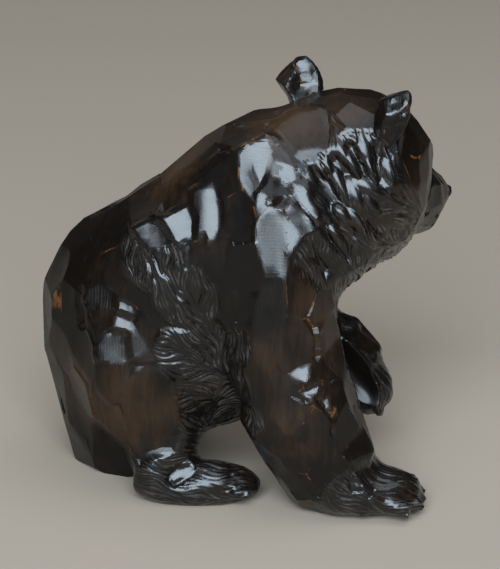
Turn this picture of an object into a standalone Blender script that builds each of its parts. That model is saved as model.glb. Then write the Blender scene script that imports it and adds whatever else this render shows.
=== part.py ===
"""A sitting bear cub hewn from one block of wood, with its head turned and one paw raised.

The figure is drawn on a grid that is about a hundred units high: X runs ahead, Y to the bear's
left and Z up, with the spine slanting by BODY_TURN. At the end the spine is brought along X, the
size to HEIGHT, in metres, and the origin to the middle of the base.
"""

import math

import bmesh
import bpy
import numpy as np
from mathutils import Euler, Matrix, Vector

HEIGHT = 0.300
BODY_TURN = math.radians(17)

# Grain of the first rough mesh and of the smooth one, and the triangles left in the end
ROUGH_GRAIN = 2.2
FINE_GRAIN = 0.8
TRIANGLES = 9600

# The head's place and pose on the neck
SKULL = Vector((24.3, 4.8, 75.9))
HEAD_TURN = math.radians(44)
HEAD_DROP = math.radians(23)
HEAD_ROLL = math.radians(5)


def clear_scene():
    for block in list(bpy.data.objects):
        bpy.data.objects.remove(block, do_unlink=True)


class Ball:
    """An ellipsoid, given by its middle, its three radii and its turn in degrees."""

    def __init__(self, middle, radii, turn=(0, 0, 0), blend=4.0):
        angles = [math.radians(angle) for angle in turn]
        self.middle = np.array(middle, float)
        self.radii = np.array(radii, float)
        self.turn = np.array(Euler(angles).to_matrix())
        self.span = max(radii)
        self.blend = blend

    def distance(self, points):
        """The gap from points to the skin, which is below nought inside it."""
        local = (points - self.middle) @ self.turn
        near = np.linalg.norm(local / self.radii, axis=1)
        steep = np.linalg.norm(local / self.radii ** 2, axis=1)
        return near * (near - 1) / np.maximum(steep, 1e-9)

    def add_blank(self, mesh):
        place = Matrix.Translation(Vector(self.middle)) @ Matrix(self.turn.tolist()).to_4x4()
        place = place @ Matrix.Diagonal((*self.radii, 1))
        bmesh.ops.create_icosphere(mesh, subdivisions=3, radius=1, matrix=place)


class Limb:
    """A round bar that tapers from one ball to another."""

    def __init__(self, start, start_radius, end, end_radius, blend=4.0):
        self.start = np.array(start, float)
        self.end = np.array(end, float)
        self.middle = (self.start + self.end) / 2
        self.start_radius = start_radius
        self.end_radius = end_radius
        self.span = np.linalg.norm(self.end - self.middle) + max(start_radius, end_radius)
        self.blend = blend

    def distance(self, points):
        """The gap from points to the skin, which is below nought inside it."""
        along = self.end - self.start
        share = np.clip((points - self.start) @ along / (along @ along), 0, 1)
        axis = self.start + share[:, None] * along
        radius = self.start_radius + share * (self.end_radius - self.start_radius)
        return np.linalg.norm(points - axis, axis=1) - radius

    def add_blank(self, mesh):
        steps = 4
        for step in range(steps + 1):
            share = step / steps
            middle = Vector(self.start + share * (self.end - self.start))
            radius = self.start_radius + share * (self.end_radius - self.start_radius)
            place = Matrix.Translation(middle) @ Matrix.Scale(radius, 4)
            bmesh.ops.create_icosphere(mesh, subdivisions=3, radius=1, matrix=place)


def head_frame():
    """The head's axes: forward along the muzzle, to its left, and up through the crown."""
    forward = Vector((math.cos(HEAD_TURN) * math.cos(HEAD_DROP),
                      math.sin(HEAD_TURN) * math.cos(HEAD_DROP),
                      -math.sin(HEAD_DROP)))
    left = Vector((-math.sin(HEAD_TURN), math.cos(HEAD_TURN), 0))
    up = forward.cross(left)
    left = left * math.cos(HEAD_ROLL) + up * math.sin(HEAD_ROLL)
    up = forward.cross(left)
    return Matrix((forward, left, up)).transposed()


HEAD_AXES = head_frame()


def on_head(forward, left, up):
    return SKULL + HEAD_AXES @ Vector((forward, left, up))


def head_ball(middle, radii, turn=(0, 0, 0), blend=4.0):
    """A ball placed and turned in the head's own axes."""
    ball = Ball(on_head(*middle), radii, turn, blend)
    ball.turn = np.array(HEAD_AXES) @ ball.turn
    return ball


def head_limb(start, start_radius, end, end_radius, blend=4.0):
    return Limb(on_head(*start), start_radius, on_head(*end), end_radius, blend)


def toes(knuckles, way, spread, reach, claw, count=5):
    """A row of toes with claws: from the middle knuckle, along way, fanned over spread."""
    parts = []
    middle = Vector(knuckles)
    ahead = Vector(way).normalized()
    aside = Vector((0, 0, 1)).cross(ahead).normalized()
    for number in range(count):
        share = 2 * number / (count - 1) - 1
        root = middle + aside * share * spread - ahead * share ** 2 * reach * 0.35
        line = (ahead + aside * share * 0.25).normalized()
        tip = root + line * reach
        parts.append(Limb(root, spread * 0.33, tip, spread * 0.25, blend=1.2))
        hook = tip + line * claw + Vector((0, 0, -claw * 0.45))
        parts.append(Limb(tip + line * 0.5, spread * 0.15, hook, spread * 0.07, blend=0.5))
    return parts


def trunk():
    return [
        Ball((-19.5, 8, 37.5), (28, 20, 27), (0, 0, -17), blend=0),
        Ball((-28, 11, 22), (17.5, 14, 30), (0, 0, -17), blend=6),
        Limb((-15, 5, 46), 21, (4, 1, 64), 17, blend=8),
        Ball((-13, 1, 58), (14, 14.5, 15), blend=8),
        Limb((3, 1, 68.5), 17.5, (16, 3, 72), 15, blend=7),
        Ball((6, 0, 50), (15, 15, 17), blend=6),
        Ball((-7, 3, 32), (17, 13.5, 18.5), blend=6),
    ]


def near_fore_leg():
    return [
        Ball((5, -10.5, 57), (14, 11.5, 20), blend=5),
        Limb((8, -13, 45), 11, (8.5, -14, 35), 11, blend=6),
        Limb((8.5, -14, 35), 11, (12, -15, 23), 12.3, blend=5),
        Limb((12, -15, 23), 12.3, (17, -15, 11), 11.5, blend=4),
        Ball((26, -17.5, 5), (13, 8.5, 5.5), blend=4),
    ] + toes((34, -17.5, 3.6), (1, -0.1, -0.12), 6.6, 4.2, 3.6)


def far_fore_leg():
    return [
        Ball((5, 10, 61), (13, 10, 17), blend=5),
        Limb((7, 12, 54), 12, (10, 14, 34), 9.5, blend=5),
        Limb((12, 14, 31), 9, (22, 13.5, 25.5), 8, blend=4),
        Limb((22, 13.5, 25.5), 8, (27.3, 12.5, 18.5), 6.2, blend=3),
        Ball((28.2, 12.5, 16.8), (5.2, 6.5, 5.6), blend=3),
    ] + toes((29.6, 12.5, 15.8), (0.35, 0, -1), 5.2, 3.2, 2.8)


def near_hind_leg():
    return [
        Ball((-24, -6, 28.5), (13.5, 10.5, 19), (0, 0, -8), blend=4),
        Limb((-18, -7, 16), 8.5, (-20, -10, 8), 7, blend=4),
        Ball((-11.5, -12, 4), (14.5, 6, 5.5), blend=3),
    ] + toes((-2.2, -11.6, 3.6), (1, 0.12, -0.1), 4.8, 3.2, 4.6)


def far_hind_leg():
    return [
        Ball((-19, 23, 24), (14, 9, 19), (0, 0, -5), blend=4),
        Limb((-20, 26, 13), 7, (-23, 27, 7), 7, blend=4),
        Ball((-22, 29, 4), (12, 6, 5.5), (0, 0, 38), blend=3),
    ] + toes((-16, 33.2, 3.6), (0.79, 0.61, -0.1), 4.6, 3.0, 3.8)


def head():
    parts = [
        head_ball((0, 0, 0), (17, 16, 15), blend=5),
        head_limb((10, 0, -3.5), 9.5, (25, 0, -4), 6.5, blend=4),
        head_limb((8, -1, -10), 12, (20, 0, -6.5), 7.5, blend=4),
        head_limb((20, 0, -6.5), 7.5, (27, 0, -8.2), 4.8, blend=3),
        head_ball((30.2, 0, -1.6), (3.4, 3.8, 3.0), blend=1),
        Limb((18, -2, 62), 14, (26, 4, 64), 12, blend=5),
    ]
    for side in (-1, 1):
        parts += [
            head_ball((10, side * 7, 4.6), (5.5, 5, 5), blend=3),
            head_ball((1, side * 10, -6), (11, 8, 11), blend=4),
            head_ball((-10.3, side * 15.3, 11.2), (3.2, 5.3, 5.7), (0, 0, side * 25), blend=2),
        ]
    return parts


def hollows():
    """What is cut out of the figure: mouth, palm, eye sockets, ear cups and nostrils."""
    parts = [
        head_limb((33, 0, -6.2), 0.8, (24, 5.4, -7.2), 0.7, blend=0.8),
        head_limb((33, 0, -6.2), 0.8, (24, -5.4, -7.2), 0.7, blend=0.8),
        Ball((23.5, 3.5, 23.9), (11, 5, 5), (0, 51, 0), blend=1.5),
    ]
    for side in (-1, 1):
        parts += [
            head_ball((15.5, side * 7.2, 1.4), (3.4, 2.6, 2.4), blend=1.5),
            head_ball((-7.2, side * 16.6, 12.2), (3.0, 3.6, 4.2), (0, 0, side * 25), blend=1.2),
            head_ball((33.2, side * 1.9, -1.4), (1.5, 0.9, 0.9), blend=0.4),
        ]
    return parts


def eyes():
    return [head_ball((14.2, side * 6.7, 1.5), (2.2, 1.9, 1.7), blend=0.4) for side in (-1, 1)]


def masses():
    return (trunk() + near_hind_leg() + far_hind_leg() + near_fore_leg() + far_fore_leg() + head())


def smooth_min(first, second, blend):
    if blend == 0:
        return np.minimum(first, second)
    mix = np.clip(0.5 + 0.5 * (second - first) / blend, 0, 1)
    return second * (1 - mix) + first * mix - blend * mix * (1 - mix)


FIGURE = masses()
HOLLOWS = hollows()
EYES = eyes()


def figure_distance(points):
    """How far points near the blended skin are from it."""
    total = np.full(len(points), 1e3)
    for side, parts in ((1, FIGURE), (-1, HOLLOWS), (1, EYES)):
        for part in parts:
            near = ((points - part.middle) ** 2).sum(axis=1) < (part.span + part.blend + 6) ** 2
            joined = smooth_min(side * total[near], part.distance(points[near]), part.blend)
            total[near] = side * joined
    return total


def slope(points, gap, step=0.02):
    """How the distance grows along each axis, where the distance itself is gap."""
    grown = np.empty_like(points)
    for axis in range(3):
        shift = np.zeros(3)
        shift[axis] = step
        grown[:, axis] = figure_distance(points + shift) - gap
    return grown / step


def settle(points, rounds):
    """Moves points onto the blended skin."""
    for _ in range(rounds):
        gap = figure_distance(points)
        lean = slope(points, gap)
        size = np.maximum((lean ** 2).sum(axis=1), 0.05)
        move = lean * (gap / size)[:, None]
        length = np.linalg.norm(move, axis=1)
        limit = np.minimum(1, 1.0 / np.maximum(length, 1e-9))
        points = points - move * limit[:, None]
    return points


def read_points(mesh):
    flat = np.empty(len(mesh.vertices) * 3)
    mesh.vertices.foreach_get("co", flat)
    return flat.reshape(-1, 3)


def read_edges(mesh):
    flat = np.empty(len(mesh.edges) * 2, np.int32)
    mesh.edges.foreach_get("vertices", flat)
    return flat.reshape(-1, 2)


def write_points(mesh, points):
    mesh.vertices.foreach_set("co", points.ravel())
    mesh.update()


def remeshed(mesh, grain):
    """A copy of a mesh, rebuilt on an even grid."""
    holder = bpy.data.objects.new("blank", mesh)
    bpy.context.collection.objects.link(holder)
    grid = holder.modifiers.new("Even grid", "REMESH")
    grid.mode = "VOXEL"
    grid.voxel_size = grain
    graph = bpy.context.evaluated_depsgraph_get()
    result = bpy.data.meshes.new_from_object(holder.evaluated_get(graph))
    bpy.data.objects.remove(holder)
    return result


def skin():
    """The figure's smooth skin as an even mesh."""
    blank = bmesh.new()
    for part in FIGURE:
        part.add_blank(blank)
    mesh = bpy.data.meshes.new("blank")
    blank.to_mesh(mesh)
    blank.free()
    mesh = remeshed(mesh, ROUGH_GRAIN)
    write_points(mesh, settle(read_points(mesh), 5))
    mesh = remeshed(mesh, FINE_GRAIN)
    write_points(mesh, settle(read_points(mesh), 2))
    return mesh


# Guides for the lie of the fur: a place on the skin and the way the strokes run there
FUR_GUIDES = (
    ((-40, 10, 40), (-0.2, 0, -1)),
    ((-20, 0, 66), (-0.9, 0, -0.4)),
    ((0, 0, 84), (-0.9, 0, -0.4)),
    ((-20, -13, 58), (0.4, 0, -0.9)),
    ((-12, -12, 45), (0.3, 0, -0.95)),
    ((-6, -10, 25), (0.2, 0, -1)),
    ((-24, -14, 40), (0.8, 0, -0.5)),
    ((-14, -14, 34), (0.9, 0.2, -0.4)),
    ((-11, -12, 20), (0.7, 0.3, -0.6)),
    ((-20, -16, 6), (1, 0, -0.2)),
    ((0, -14, 5), (1, 0, 0)),
    ((2, -20, 62), (0.2, 0, -1)),
    ((14, -18, 70), (0.4, 0, -0.9)),
    ((20, -14, 60), (0.35, 0, -0.9)),
    ((26, -12, 76), (0.15, -0.3, -0.9)),
    ((32, -6, 62), (0.3, 0.2, -0.8)),
    ((10, -25, 36), (0.1, 0, -1)),
    ((18, -12, 48), (0.2, 0, -1)),
    ((16, -24, 16), (0.5, 0, -0.8)),
    ((30, -18, 8), (1, 0, -0.2)),
    ((20, 12, 33), (0.8, 0, -0.6)),
    ((32, 12, 20), (0.3, 0, -1)),
    ((8, 20, 55), (0.2, 0, -1)),
    ((-12, 22, 45), (0.3, 0, -0.95)),
    ((-12, 28, 20), (0.6, 0.4, -0.6)),
    ((-14, 33, 4), (0.8, 0.6, 0)),
)

# Where the fur is cut in strokes instead of broad flats: balls on the figure, middle and radius
FUR_PLACES = (
    ((-20, -12, 58), 8), ((-13, -11, 50), 9), ((-7, -9, 40), 9), ((-3, -9, 28), 9), ((-3, -7, 18), 9),
    ((-15, -14, 37), 6), ((-11.5, -13, 29), 6), ((-10, -12, 20), 6), ((-10, -12, 12), 7),
    ((-18, -15, 4), 9), ((-8, -15, 4), 10), ((2, -12, 4), 6),
    ((14, -16, 72), 9), ((17, -14, 62), 10), ((24, -12, 78), 9), ((24, -12, 68), 10), ((30, -8, 66), 9),
    ((18, -4, 82), 6), ((27, -3, 55), 9), ((20, -8, 52), 8), ((20, -6, 44), 7), ((36, 2, 60), 8),
    ((0, -18, 40), 5), ((1, -18, 32), 5), ((4, -20, 24), 5), ((22, -20, 7), 8), ((32, -18, 5), 10),
    ((-14, 27, 40), 9), ((-6, 20, 32), 10), ((-4, 12, 16), 10), ((-20, 30, 5), 13),
    ((12, 20, 66), 10), ((20, 22, 72), 9), ((12, 24, 78), 8), ((20, 10, 50), 9), ((20, 14, 32), 6),
    ((29, 12, 18), 9), ((30, 14, 60), 8),
)

FLAT_SPACING = 7.2
# Places of the flats that are set by hand, on the right side, and the way they lean a little
KEY_FLATS = (
    (1.7, -13.5, 79.2), (2.1, -18.7, 72.1), (4.9, -21.3, 63.5), (9.6, -20.1, 66.4), (12.9, -17.0, 70.8),
    (-21.0, -4.1, 65.4), (-15.5, -7.8, 66.5), (-10.9, -10.1, 71.5), (-32.6, -8.5, 47.1),
    (-28.3, -11.7, 47.0), (-28.1, -13.2, 41.8), (-30.5, -12.7, 35.9), (-24.8, -14.6, 36.5),
    (11.5, -26.0, 35.2), (13.7, -26.1, 31.8), (17.5, -26.0, 28.0), (11.6, -1.4, 87.1),
    (1.7, -22.7, 44.9), (8.8, -24.2, 45.4),
)
KEY_WAY = (0.05, -0.86, 0.5)
KEY_LEAN = 0.15
# Places with smaller flats: middle, radius and spacing
SMALLER_FLATS = (
    ((24, 5, 76), 22, 4.6), ((44, 24, 62), 12, 2.6), ((14, 14, 90), 8, 3.0), ((34, -8, 84), 9, 3.0),
    ((-24, -14, 32), 12, 5.2), ((14, -16, 26), 14, 4.6), ((28, 12, 20), 12, 3.4), ((0, -16, 4), 14, 3.4),
)
LOCK_SPACING = 3.6
TURN_WEIGHT = 2.0
FLAT_TILT = 0.04
FLAT_REACH = 0.16
# The steepest slope that a cut may have against the smooth skin, and how long it is eased
FLAT_STEEPEST = 0.36
LOCK_STEEPEST = 0.7
EASE_ROUNDS = 60
SEED = 7


def fur_share(points):
    """One where the fur is cut in strokes, nought where the wood is hewn in flats."""
    share = np.zeros(len(points))
    for middle, radius in FUR_PLACES:
        gap = np.linalg.norm(points - np.array(middle, float), axis=1)
        share = np.maximum(share, np.clip((radius + 1 - gap) / 2, 0, 1))
    for middle in KEY_FLATS:
        gap = np.linalg.norm(points - np.array(middle, float), axis=1)
        share *= np.clip((gap - 3.2) / 1.5, 0, 1)
    return share


def fur_lie(points, normals):
    """The way the fur runs at each point, along the skin."""
    total = np.zeros_like(points)
    for place, way in FUR_GUIDES:
        gap = ((points - np.array(place, float)) ** 2).sum(axis=1)
        way = np.array(way, float) / np.linalg.norm(way)
        total += way / (gap + 20)[:, None] ** 2
    total -= normals * (total * normals).sum(axis=1)[:, None]
    return total / np.maximum(np.linalg.norm(total, axis=1), 1e-9)[:, None]


def flat_spacing(points):
    spacing = np.full(len(points), FLAT_SPACING)
    for middle, radius, smaller in SMALLER_FLATS:
        gap = np.linalg.norm(points - np.array(middle, float), axis=1)
        inside = np.clip((radius - gap) / 3, 0, 1)
        spacing = np.minimum(spacing, FLAT_SPACING + (smaller - FLAT_SPACING) * inside)
    return spacing


def scatter(points, lie, allowed, spacing, stretch, seed, first=()):
    """Picks points that keep their distance, farther apart along the fur than across it."""
    order = np.random.default_rng(seed).permutation(np.flatnonzero(allowed))
    chosen = list(first)
    for index in order:
        if chosen:
            offset = points[chosen] - points[index]
            along = offset @ lie[index]
            across = (offset ** 2).sum(axis=1) - along ** 2
            if (across + (along / stretch) ** 2).min() < spacing[index] ** 2:
                continue
        chosen.append(index)
    return np.array(chosen)


def nearest_flats(points, normals, place, facing, spacing, count):
    """For each point the flats that it lies nearest to, both in place and in facing."""
    gap = ((points[:, None, :] - place[None, :, :]) ** 2).sum(axis=2)
    gap += TURN_WEIGHT * spacing[None, :] ** 2 * (1 - normals @ facing.T)
    return np.argsort(gap, axis=1)[:, :count]


def hew_flats(points, normals, hewn, sites, seed):
    """Depth to take off each point so that every site becomes a broad flat cut."""
    chance = np.random.default_rng(seed)
    place, facing, spacing = points[sites], normals[sites], flat_spacing(points[sites])
    for _ in range(4):
        own = nearest_flats(points[hewn], normals[hewn], place, facing, spacing, 1)[:, 0]
        size = np.bincount(own, minlength=len(sites))
        for values, means in ((points, place), (normals, facing)):
            for axis in range(3):
                total = np.bincount(own, values[hewn, axis], len(sites))
                means[:, axis] = np.where(size > 0, total / np.maximum(size, 1), means[:, axis])
        facing /= np.linalg.norm(facing, axis=1)[:, None]
    facing += chance.normal(0, FLAT_TILT, (len(sites), 3))
    facing[:len(KEY_FLATS)] += (np.array(KEY_WAY) - facing[:len(KEY_FLATS)]) * KEY_LEAN
    facing /= np.linalg.norm(facing, axis=1)[:, None]
    near = nearest_flats(points, normals, place, facing, spacing, 5)
    first = near[:, 0]

    def height(flat):
        lean = np.maximum((normals * facing[flat]).sum(axis=1), 0.4)
        return ((points - place[flat]) * facing[flat]).sum(axis=1) / lean

    depth = height(first)
    for rank in range(1, near.shape[1]):
        other = near[:, rank]
        spread = ((place[other] - place[first]) * (facing[other] - facing[first])).sum(axis=1)
        apart = np.linalg.norm(place[other] - place[first], axis=1)
        bulge = np.clip(spread / apart ** 2 / 0.02, 0, 1)
        alike = (facing[other] * normals).sum(axis=1) > 0.6
        rise = np.clip(height(other) - depth, 0, FLAT_REACH * spacing[first])
        depth = depth + rise * bulge * alike
    return np.clip(depth, -1.2, 1.8)


def scoop_locks(points, normals, lie, sites, spacing, seed):
    """Depth to take off each point where a gouge has cut long pointed hollows."""
    chance = np.random.default_rng(seed)
    depth = np.zeros(len(points))
    for index in sites:
        way = lie[index]
        side = np.cross(normals[index], way)
        offset = points - points[index]
        length = spacing * chance.uniform(1.5, 2.2)
        width = spacing * chance.uniform(0.55, 0.75)
        along = offset @ way / length
        across = offset @ side / width
        out = offset @ normals[index] / spacing
        hollow = 1 - along ** 2 - across ** 2 - out ** 2 * 0.3
        cut = chance.uniform(0.7, 1.1)
        depth = np.maximum(depth, cut * np.clip(hollow, 0, 1) ** 0.7)
    return depth


def ease(depth, points, edges, steepest):
    """Turns jumps in depth between neighbours into slopes, as a chisel leaves them."""
    first, second = edges[:, 0], edges[:, 1]
    limit = steepest[first] * np.linalg.norm(points[first] - points[second], axis=1)
    count = np.maximum(np.bincount(edges.ravel(), minlength=len(points)), 1)
    for _ in range(EASE_ROUNDS):
        jump = depth[first] - depth[second]
        excess = np.sign(jump) * np.maximum(np.abs(jump) - limit, 0) / 2
        change = np.bincount(second, excess, len(points)) - np.bincount(first, excess, len(points))
        depth = depth + change / count * 2
    return depth


def carve(points, edges):
    """Cuts the flats and the locks into the smooth skin."""
    normals = slope(points, figure_distance(points))
    normals /= np.linalg.norm(normals, axis=1)[:, None]
    lie = fur_lie(points, normals)
    fur = fur_share(points)
    above = points[:, 2] > 0.5
    keys = [((points - np.array(place)) ** 2).sum(axis=1).argmin() for place in KEY_FLATS]
    flats = scatter(points, lie, (fur < 0.7) & above, flat_spacing(points), 1.5, SEED, keys)
    locks = scatter(points, lie, (fur > 0.5) & above, np.full(len(points), LOCK_SPACING), 1.7, SEED + 1)
    depth = hew_flats(points, normals, np.flatnonzero(fur < 0.7), flats, SEED) * (1 - fur)
    depth += scoop_locks(points, normals, lie, locks, LOCK_SPACING, SEED) * fur
    depth = ease(depth, points, edges, FLAT_STEEPEST + (LOCK_STEEPEST - FLAT_STEEPEST) * fur)
    return points - normals * depth[:, None]


def thinned(mesh, count):
    """A copy of a mesh with fewer triangles, kept where the skin bends most."""
    holder = bpy.data.objects.new("dense", mesh)
    bpy.context.collection.objects.link(holder)
    holder.modifiers.new("Triangles", "TRIANGULATE")
    fewer = holder.modifiers.new("Fewer", "DECIMATE")
    fewer.ratio = count / (2 * len(mesh.polygons))
    graph = bpy.context.evaluated_depsgraph_get()
    result = bpy.data.meshes.new_from_object(holder.evaluated_get(graph))
    bpy.data.objects.remove(holder)
    return result


def stand_flat(mesh):
    """Cuts the underside off level and closes it."""
    shape = bmesh.new()
    shape.from_mesh(mesh)
    everything = shape.verts[:] + shape.edges[:] + shape.faces[:]
    bmesh.ops.bisect_plane(shape, geom=everything, plane_co=(0, 0, 0), plane_no=(0, 0, 1), clear_inner=True)
    rims = [edge for edge in shape.edges if edge.is_boundary]
    bmesh.ops.holes_fill(shape, edges=rims)
    bmesh.ops.triangulate(shape, faces=shape.faces[:])
    bmesh.ops.recalc_face_normals(shape, faces=shape.faces[:])
    shape.to_mesh(mesh)
    shape.free()


def stained_wood():
    material = bpy.data.materials.new("dark stained wood")
    material.use_nodes = True
    shader = material.node_tree.nodes["Principled BSDF"]
    shader.inputs["Base Color"].default_value = (0.020, 0.014, 0.010, 1)
    shader.inputs["Roughness"].default_value = 0.32
    shader.inputs["Metallic"].default_value = 0.0
    return material


def build():
    clear_scene()
    mesh = skin()
    points = carve(read_points(mesh), read_edges(mesh))
    points[:, 2] = np.maximum(points[:, 2], -0.5)
    write_points(mesh, points)
    mesh = thinned(mesh, TRIANGLES)
    stand_flat(mesh)
    points = read_points(mesh) @ np.array(Matrix.Rotation(-BODY_TURN, 3, "Z"))
    low, high = points.min(axis=0), points.max(axis=0)
    base = np.array(((low[0] + high[0]) / 2, (low[1] + high[1]) / 2, 0))
    write_points(mesh, (points - base) * HEIGHT / high[2])
    bear = bpy.data.objects.new("bear", mesh)
    bpy.context.collection.objects.link(bear)
    mesh.materials.append(stained_wood())


build()
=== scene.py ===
"""The carved wooden bear: one block of dark stained wood, hewn in flats, its fur cut by gouges.

The figure is drawn as in its solid, on a grid of about a hundred units to the height: balls and
tapering bars that blend into one skin. The skin is then hewn and cut much finer here, and waxed.
Lengths are in units of that grid unless a comment says otherwise.
"""

import math

import bmesh
import bpy
import numpy as np
from mathutils import Euler, Matrix, Vector
from mathutils.kdtree import KDTree


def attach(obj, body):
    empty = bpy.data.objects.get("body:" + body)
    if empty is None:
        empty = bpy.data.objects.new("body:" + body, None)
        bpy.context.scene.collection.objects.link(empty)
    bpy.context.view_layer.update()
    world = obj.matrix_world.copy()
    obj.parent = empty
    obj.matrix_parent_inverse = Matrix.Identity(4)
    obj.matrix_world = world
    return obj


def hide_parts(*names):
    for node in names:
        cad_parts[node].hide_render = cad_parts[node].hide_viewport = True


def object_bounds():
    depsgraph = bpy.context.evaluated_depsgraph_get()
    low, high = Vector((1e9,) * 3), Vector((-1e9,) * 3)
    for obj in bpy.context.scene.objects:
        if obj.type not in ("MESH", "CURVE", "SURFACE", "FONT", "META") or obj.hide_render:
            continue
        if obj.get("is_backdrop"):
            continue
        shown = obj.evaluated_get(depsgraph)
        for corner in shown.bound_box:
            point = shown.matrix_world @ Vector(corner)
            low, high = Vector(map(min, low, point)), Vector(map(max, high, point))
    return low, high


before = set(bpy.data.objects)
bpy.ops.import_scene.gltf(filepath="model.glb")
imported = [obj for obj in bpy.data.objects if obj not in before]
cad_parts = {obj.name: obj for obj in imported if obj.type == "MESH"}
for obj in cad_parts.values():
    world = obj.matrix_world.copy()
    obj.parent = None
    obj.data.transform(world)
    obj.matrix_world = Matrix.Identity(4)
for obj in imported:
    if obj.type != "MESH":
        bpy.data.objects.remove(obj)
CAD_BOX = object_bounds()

# From the grid to the frame: the turn of the body, the middle of the base and the size of a unit
BODY_TURN = math.radians(17)
BASE = np.array((-3.0159, 7.3741, 0.0))
UNIT = 0.00307377
MILLIMETRES = 1000

# Grains of the rough mesh, of the one that the flats are laid out on, and of the finest one, and
# the triangles that are left after the first and the last thinning
ROUGH_GRAIN = 2.2
LAYOUT_GRAIN = 0.8
FINE_GRAIN = 0.27
FIRST_TRIANGLES = 330000
TRIANGLES = 196000

# A length or square too small to divide by, and a gap larger than any in the figure
TINY = 1e-9
ENDLESS = 1e9

# How softly parts blend unless they say otherwise, how far beyond that a part is felt, and the
# distance where nothing is near
BLEND = 4.0
BLEND_REACH = 6
FAR_OFF = 1e3

# Moving points onto the skin: the least square of its slope and the longest move in a round
LEAST_SLOPE = 0.05
LONGEST_MOVE = 1.0

# A row of toes: their number, how far the outer ones stand back and turn out, the thickness of
# toe and claw at root and tip as shares of the row's spread, where the claw starts and its hook
TOES = 5
TOE_SETBACK = 0.35
TOE_FAN = 0.25
TOE_ROOT, TOE_TIP = 0.33, 0.25
CLAW_ROOT, CLAW_TIP = 0.15, 0.07
CLAW_START = 0.5
CLAW_HOOK = 0.45
TOE_BLEND, CLAW_BLEND = 1.2, 0.5

# The head's place and pose on the neck
SKULL = Vector((24.3, 4.8, 75.9))
HEAD_TURN = math.radians(44)
HEAD_DROP = math.radians(23)
HEAD_ROLL = math.radians(5)


def clamp(values):
    """Values kept between nought and one."""
    return np.clip(values, 0, 1)


def dot(first, second):
    return (first * second).sum(axis=1)


def squared(vectors):
    return (vectors ** 2).sum(axis=1)


def unit(vectors):
    return vectors / np.maximum(np.linalg.norm(vectors, axis=-1, keepdims=True), TINY)


class Ball:
    """An ellipsoid, given by its middle, its three radii and its turn in degrees."""

    def __init__(self, middle, radii, turn=(0, 0, 0), blend=BLEND):
        angles = [math.radians(angle) for angle in turn]
        self.middle = np.array(middle, float)
        self.radii = np.array(radii, float)
        self.turn = np.array(Euler(angles).to_matrix())
        self.span = max(radii)
        self.blend = blend

    def distance(self, points):
        """The gap from points to the skin, which is below nought inside it."""
        local = (points - self.middle) @ self.turn
        near = np.linalg.norm(local / self.radii, axis=1)
        steep = np.linalg.norm(local / self.radii ** 2, axis=1)
        return near * (near - 1) / np.maximum(steep, TINY)

    def add_blank(self, mesh):
        place = Matrix.Translation(Vector(self.middle)) @ Matrix(self.turn.tolist()).to_4x4()
        place = place @ Matrix.Diagonal((*self.radii, 1))
        bmesh.ops.create_icosphere(mesh, subdivisions=3, radius=1, matrix=place)


class Limb:
    """A round bar that tapers from one ball to another."""

    def __init__(self, start, start_radius, end, end_radius, blend=BLEND):
        self.start = np.array(start, float)
        self.end = np.array(end, float)
        self.middle = (self.start + self.end) / 2
        self.start_radius = start_radius
        self.end_radius = end_radius
        self.span = np.linalg.norm(self.end - self.middle) + max(start_radius, end_radius)
        self.blend = blend

    def distance(self, points):
        """The gap from points to the skin, which is below nought inside it."""
        along = self.end - self.start
        share = clamp((points - self.start) @ along / (along @ along))
        axis = self.start + share[:, None] * along
        radius = self.start_radius + share * (self.end_radius - self.start_radius)
        return np.linalg.norm(points - axis, axis=1) - radius

    def add_blank(self, mesh):
        steps = 4
        for step in range(steps + 1):
            share = step / steps
            middle = Vector(self.start + share * (self.end - self.start))
            radius = self.start_radius + share * (self.end_radius - self.start_radius)
            place = Matrix.Translation(middle) @ Matrix.Scale(radius, 4)
            bmesh.ops.create_icosphere(mesh, subdivisions=3, radius=1, matrix=place)


def head_frame():
    """The head's axes: forward along the muzzle, to its left, and up through the crown."""
    forward = Vector((math.cos(HEAD_TURN) * math.cos(HEAD_DROP),
                      math.sin(HEAD_TURN) * math.cos(HEAD_DROP),
                      -math.sin(HEAD_DROP)))
    left = Vector((-math.sin(HEAD_TURN), math.cos(HEAD_TURN), 0))
    up = forward.cross(left)
    left = left * math.cos(HEAD_ROLL) + up * math.sin(HEAD_ROLL)
    up = forward.cross(left)
    return Matrix((forward, left, up)).transposed()


HEAD_AXES = head_frame()


def on_head(forward, left, up):
    return SKULL + HEAD_AXES @ Vector((forward, left, up))


def head_ball(middle, radii, turn=(0, 0, 0), blend=BLEND):
    """A ball placed and turned in the head's own axes."""
    ball = Ball(on_head(*middle), radii, turn, blend)
    ball.turn = np.array(HEAD_AXES) @ ball.turn
    return ball


def head_limb(start, start_radius, end, end_radius, blend=BLEND):
    return Limb(on_head(*start), start_radius, on_head(*end), end_radius, blend)


def toes(knuckles, way, spread, reach, claw):
    """A row of toes with claws: from the middle knuckle, along way, fanned over spread."""
    parts = []
    middle = Vector(knuckles)
    ahead = Vector(way).normalized()
    aside = Vector((0, 0, 1)).cross(ahead).normalized()
    for number in range(TOES):
        share = 2 * number / (TOES - 1) - 1
        root = middle + aside * share * spread - ahead * share ** 2 * reach * TOE_SETBACK
        line = (ahead + aside * share * TOE_FAN).normalized()
        tip = root + line * reach
        parts.append(Limb(root, spread * TOE_ROOT, tip, spread * TOE_TIP, TOE_BLEND))
        start = tip + line * CLAW_START
        end = tip + line * claw + Vector((0, 0, -claw * CLAW_HOOK))
        parts.append(Limb(start, spread * CLAW_ROOT, end, spread * CLAW_TIP, CLAW_BLEND))
    return parts


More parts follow.
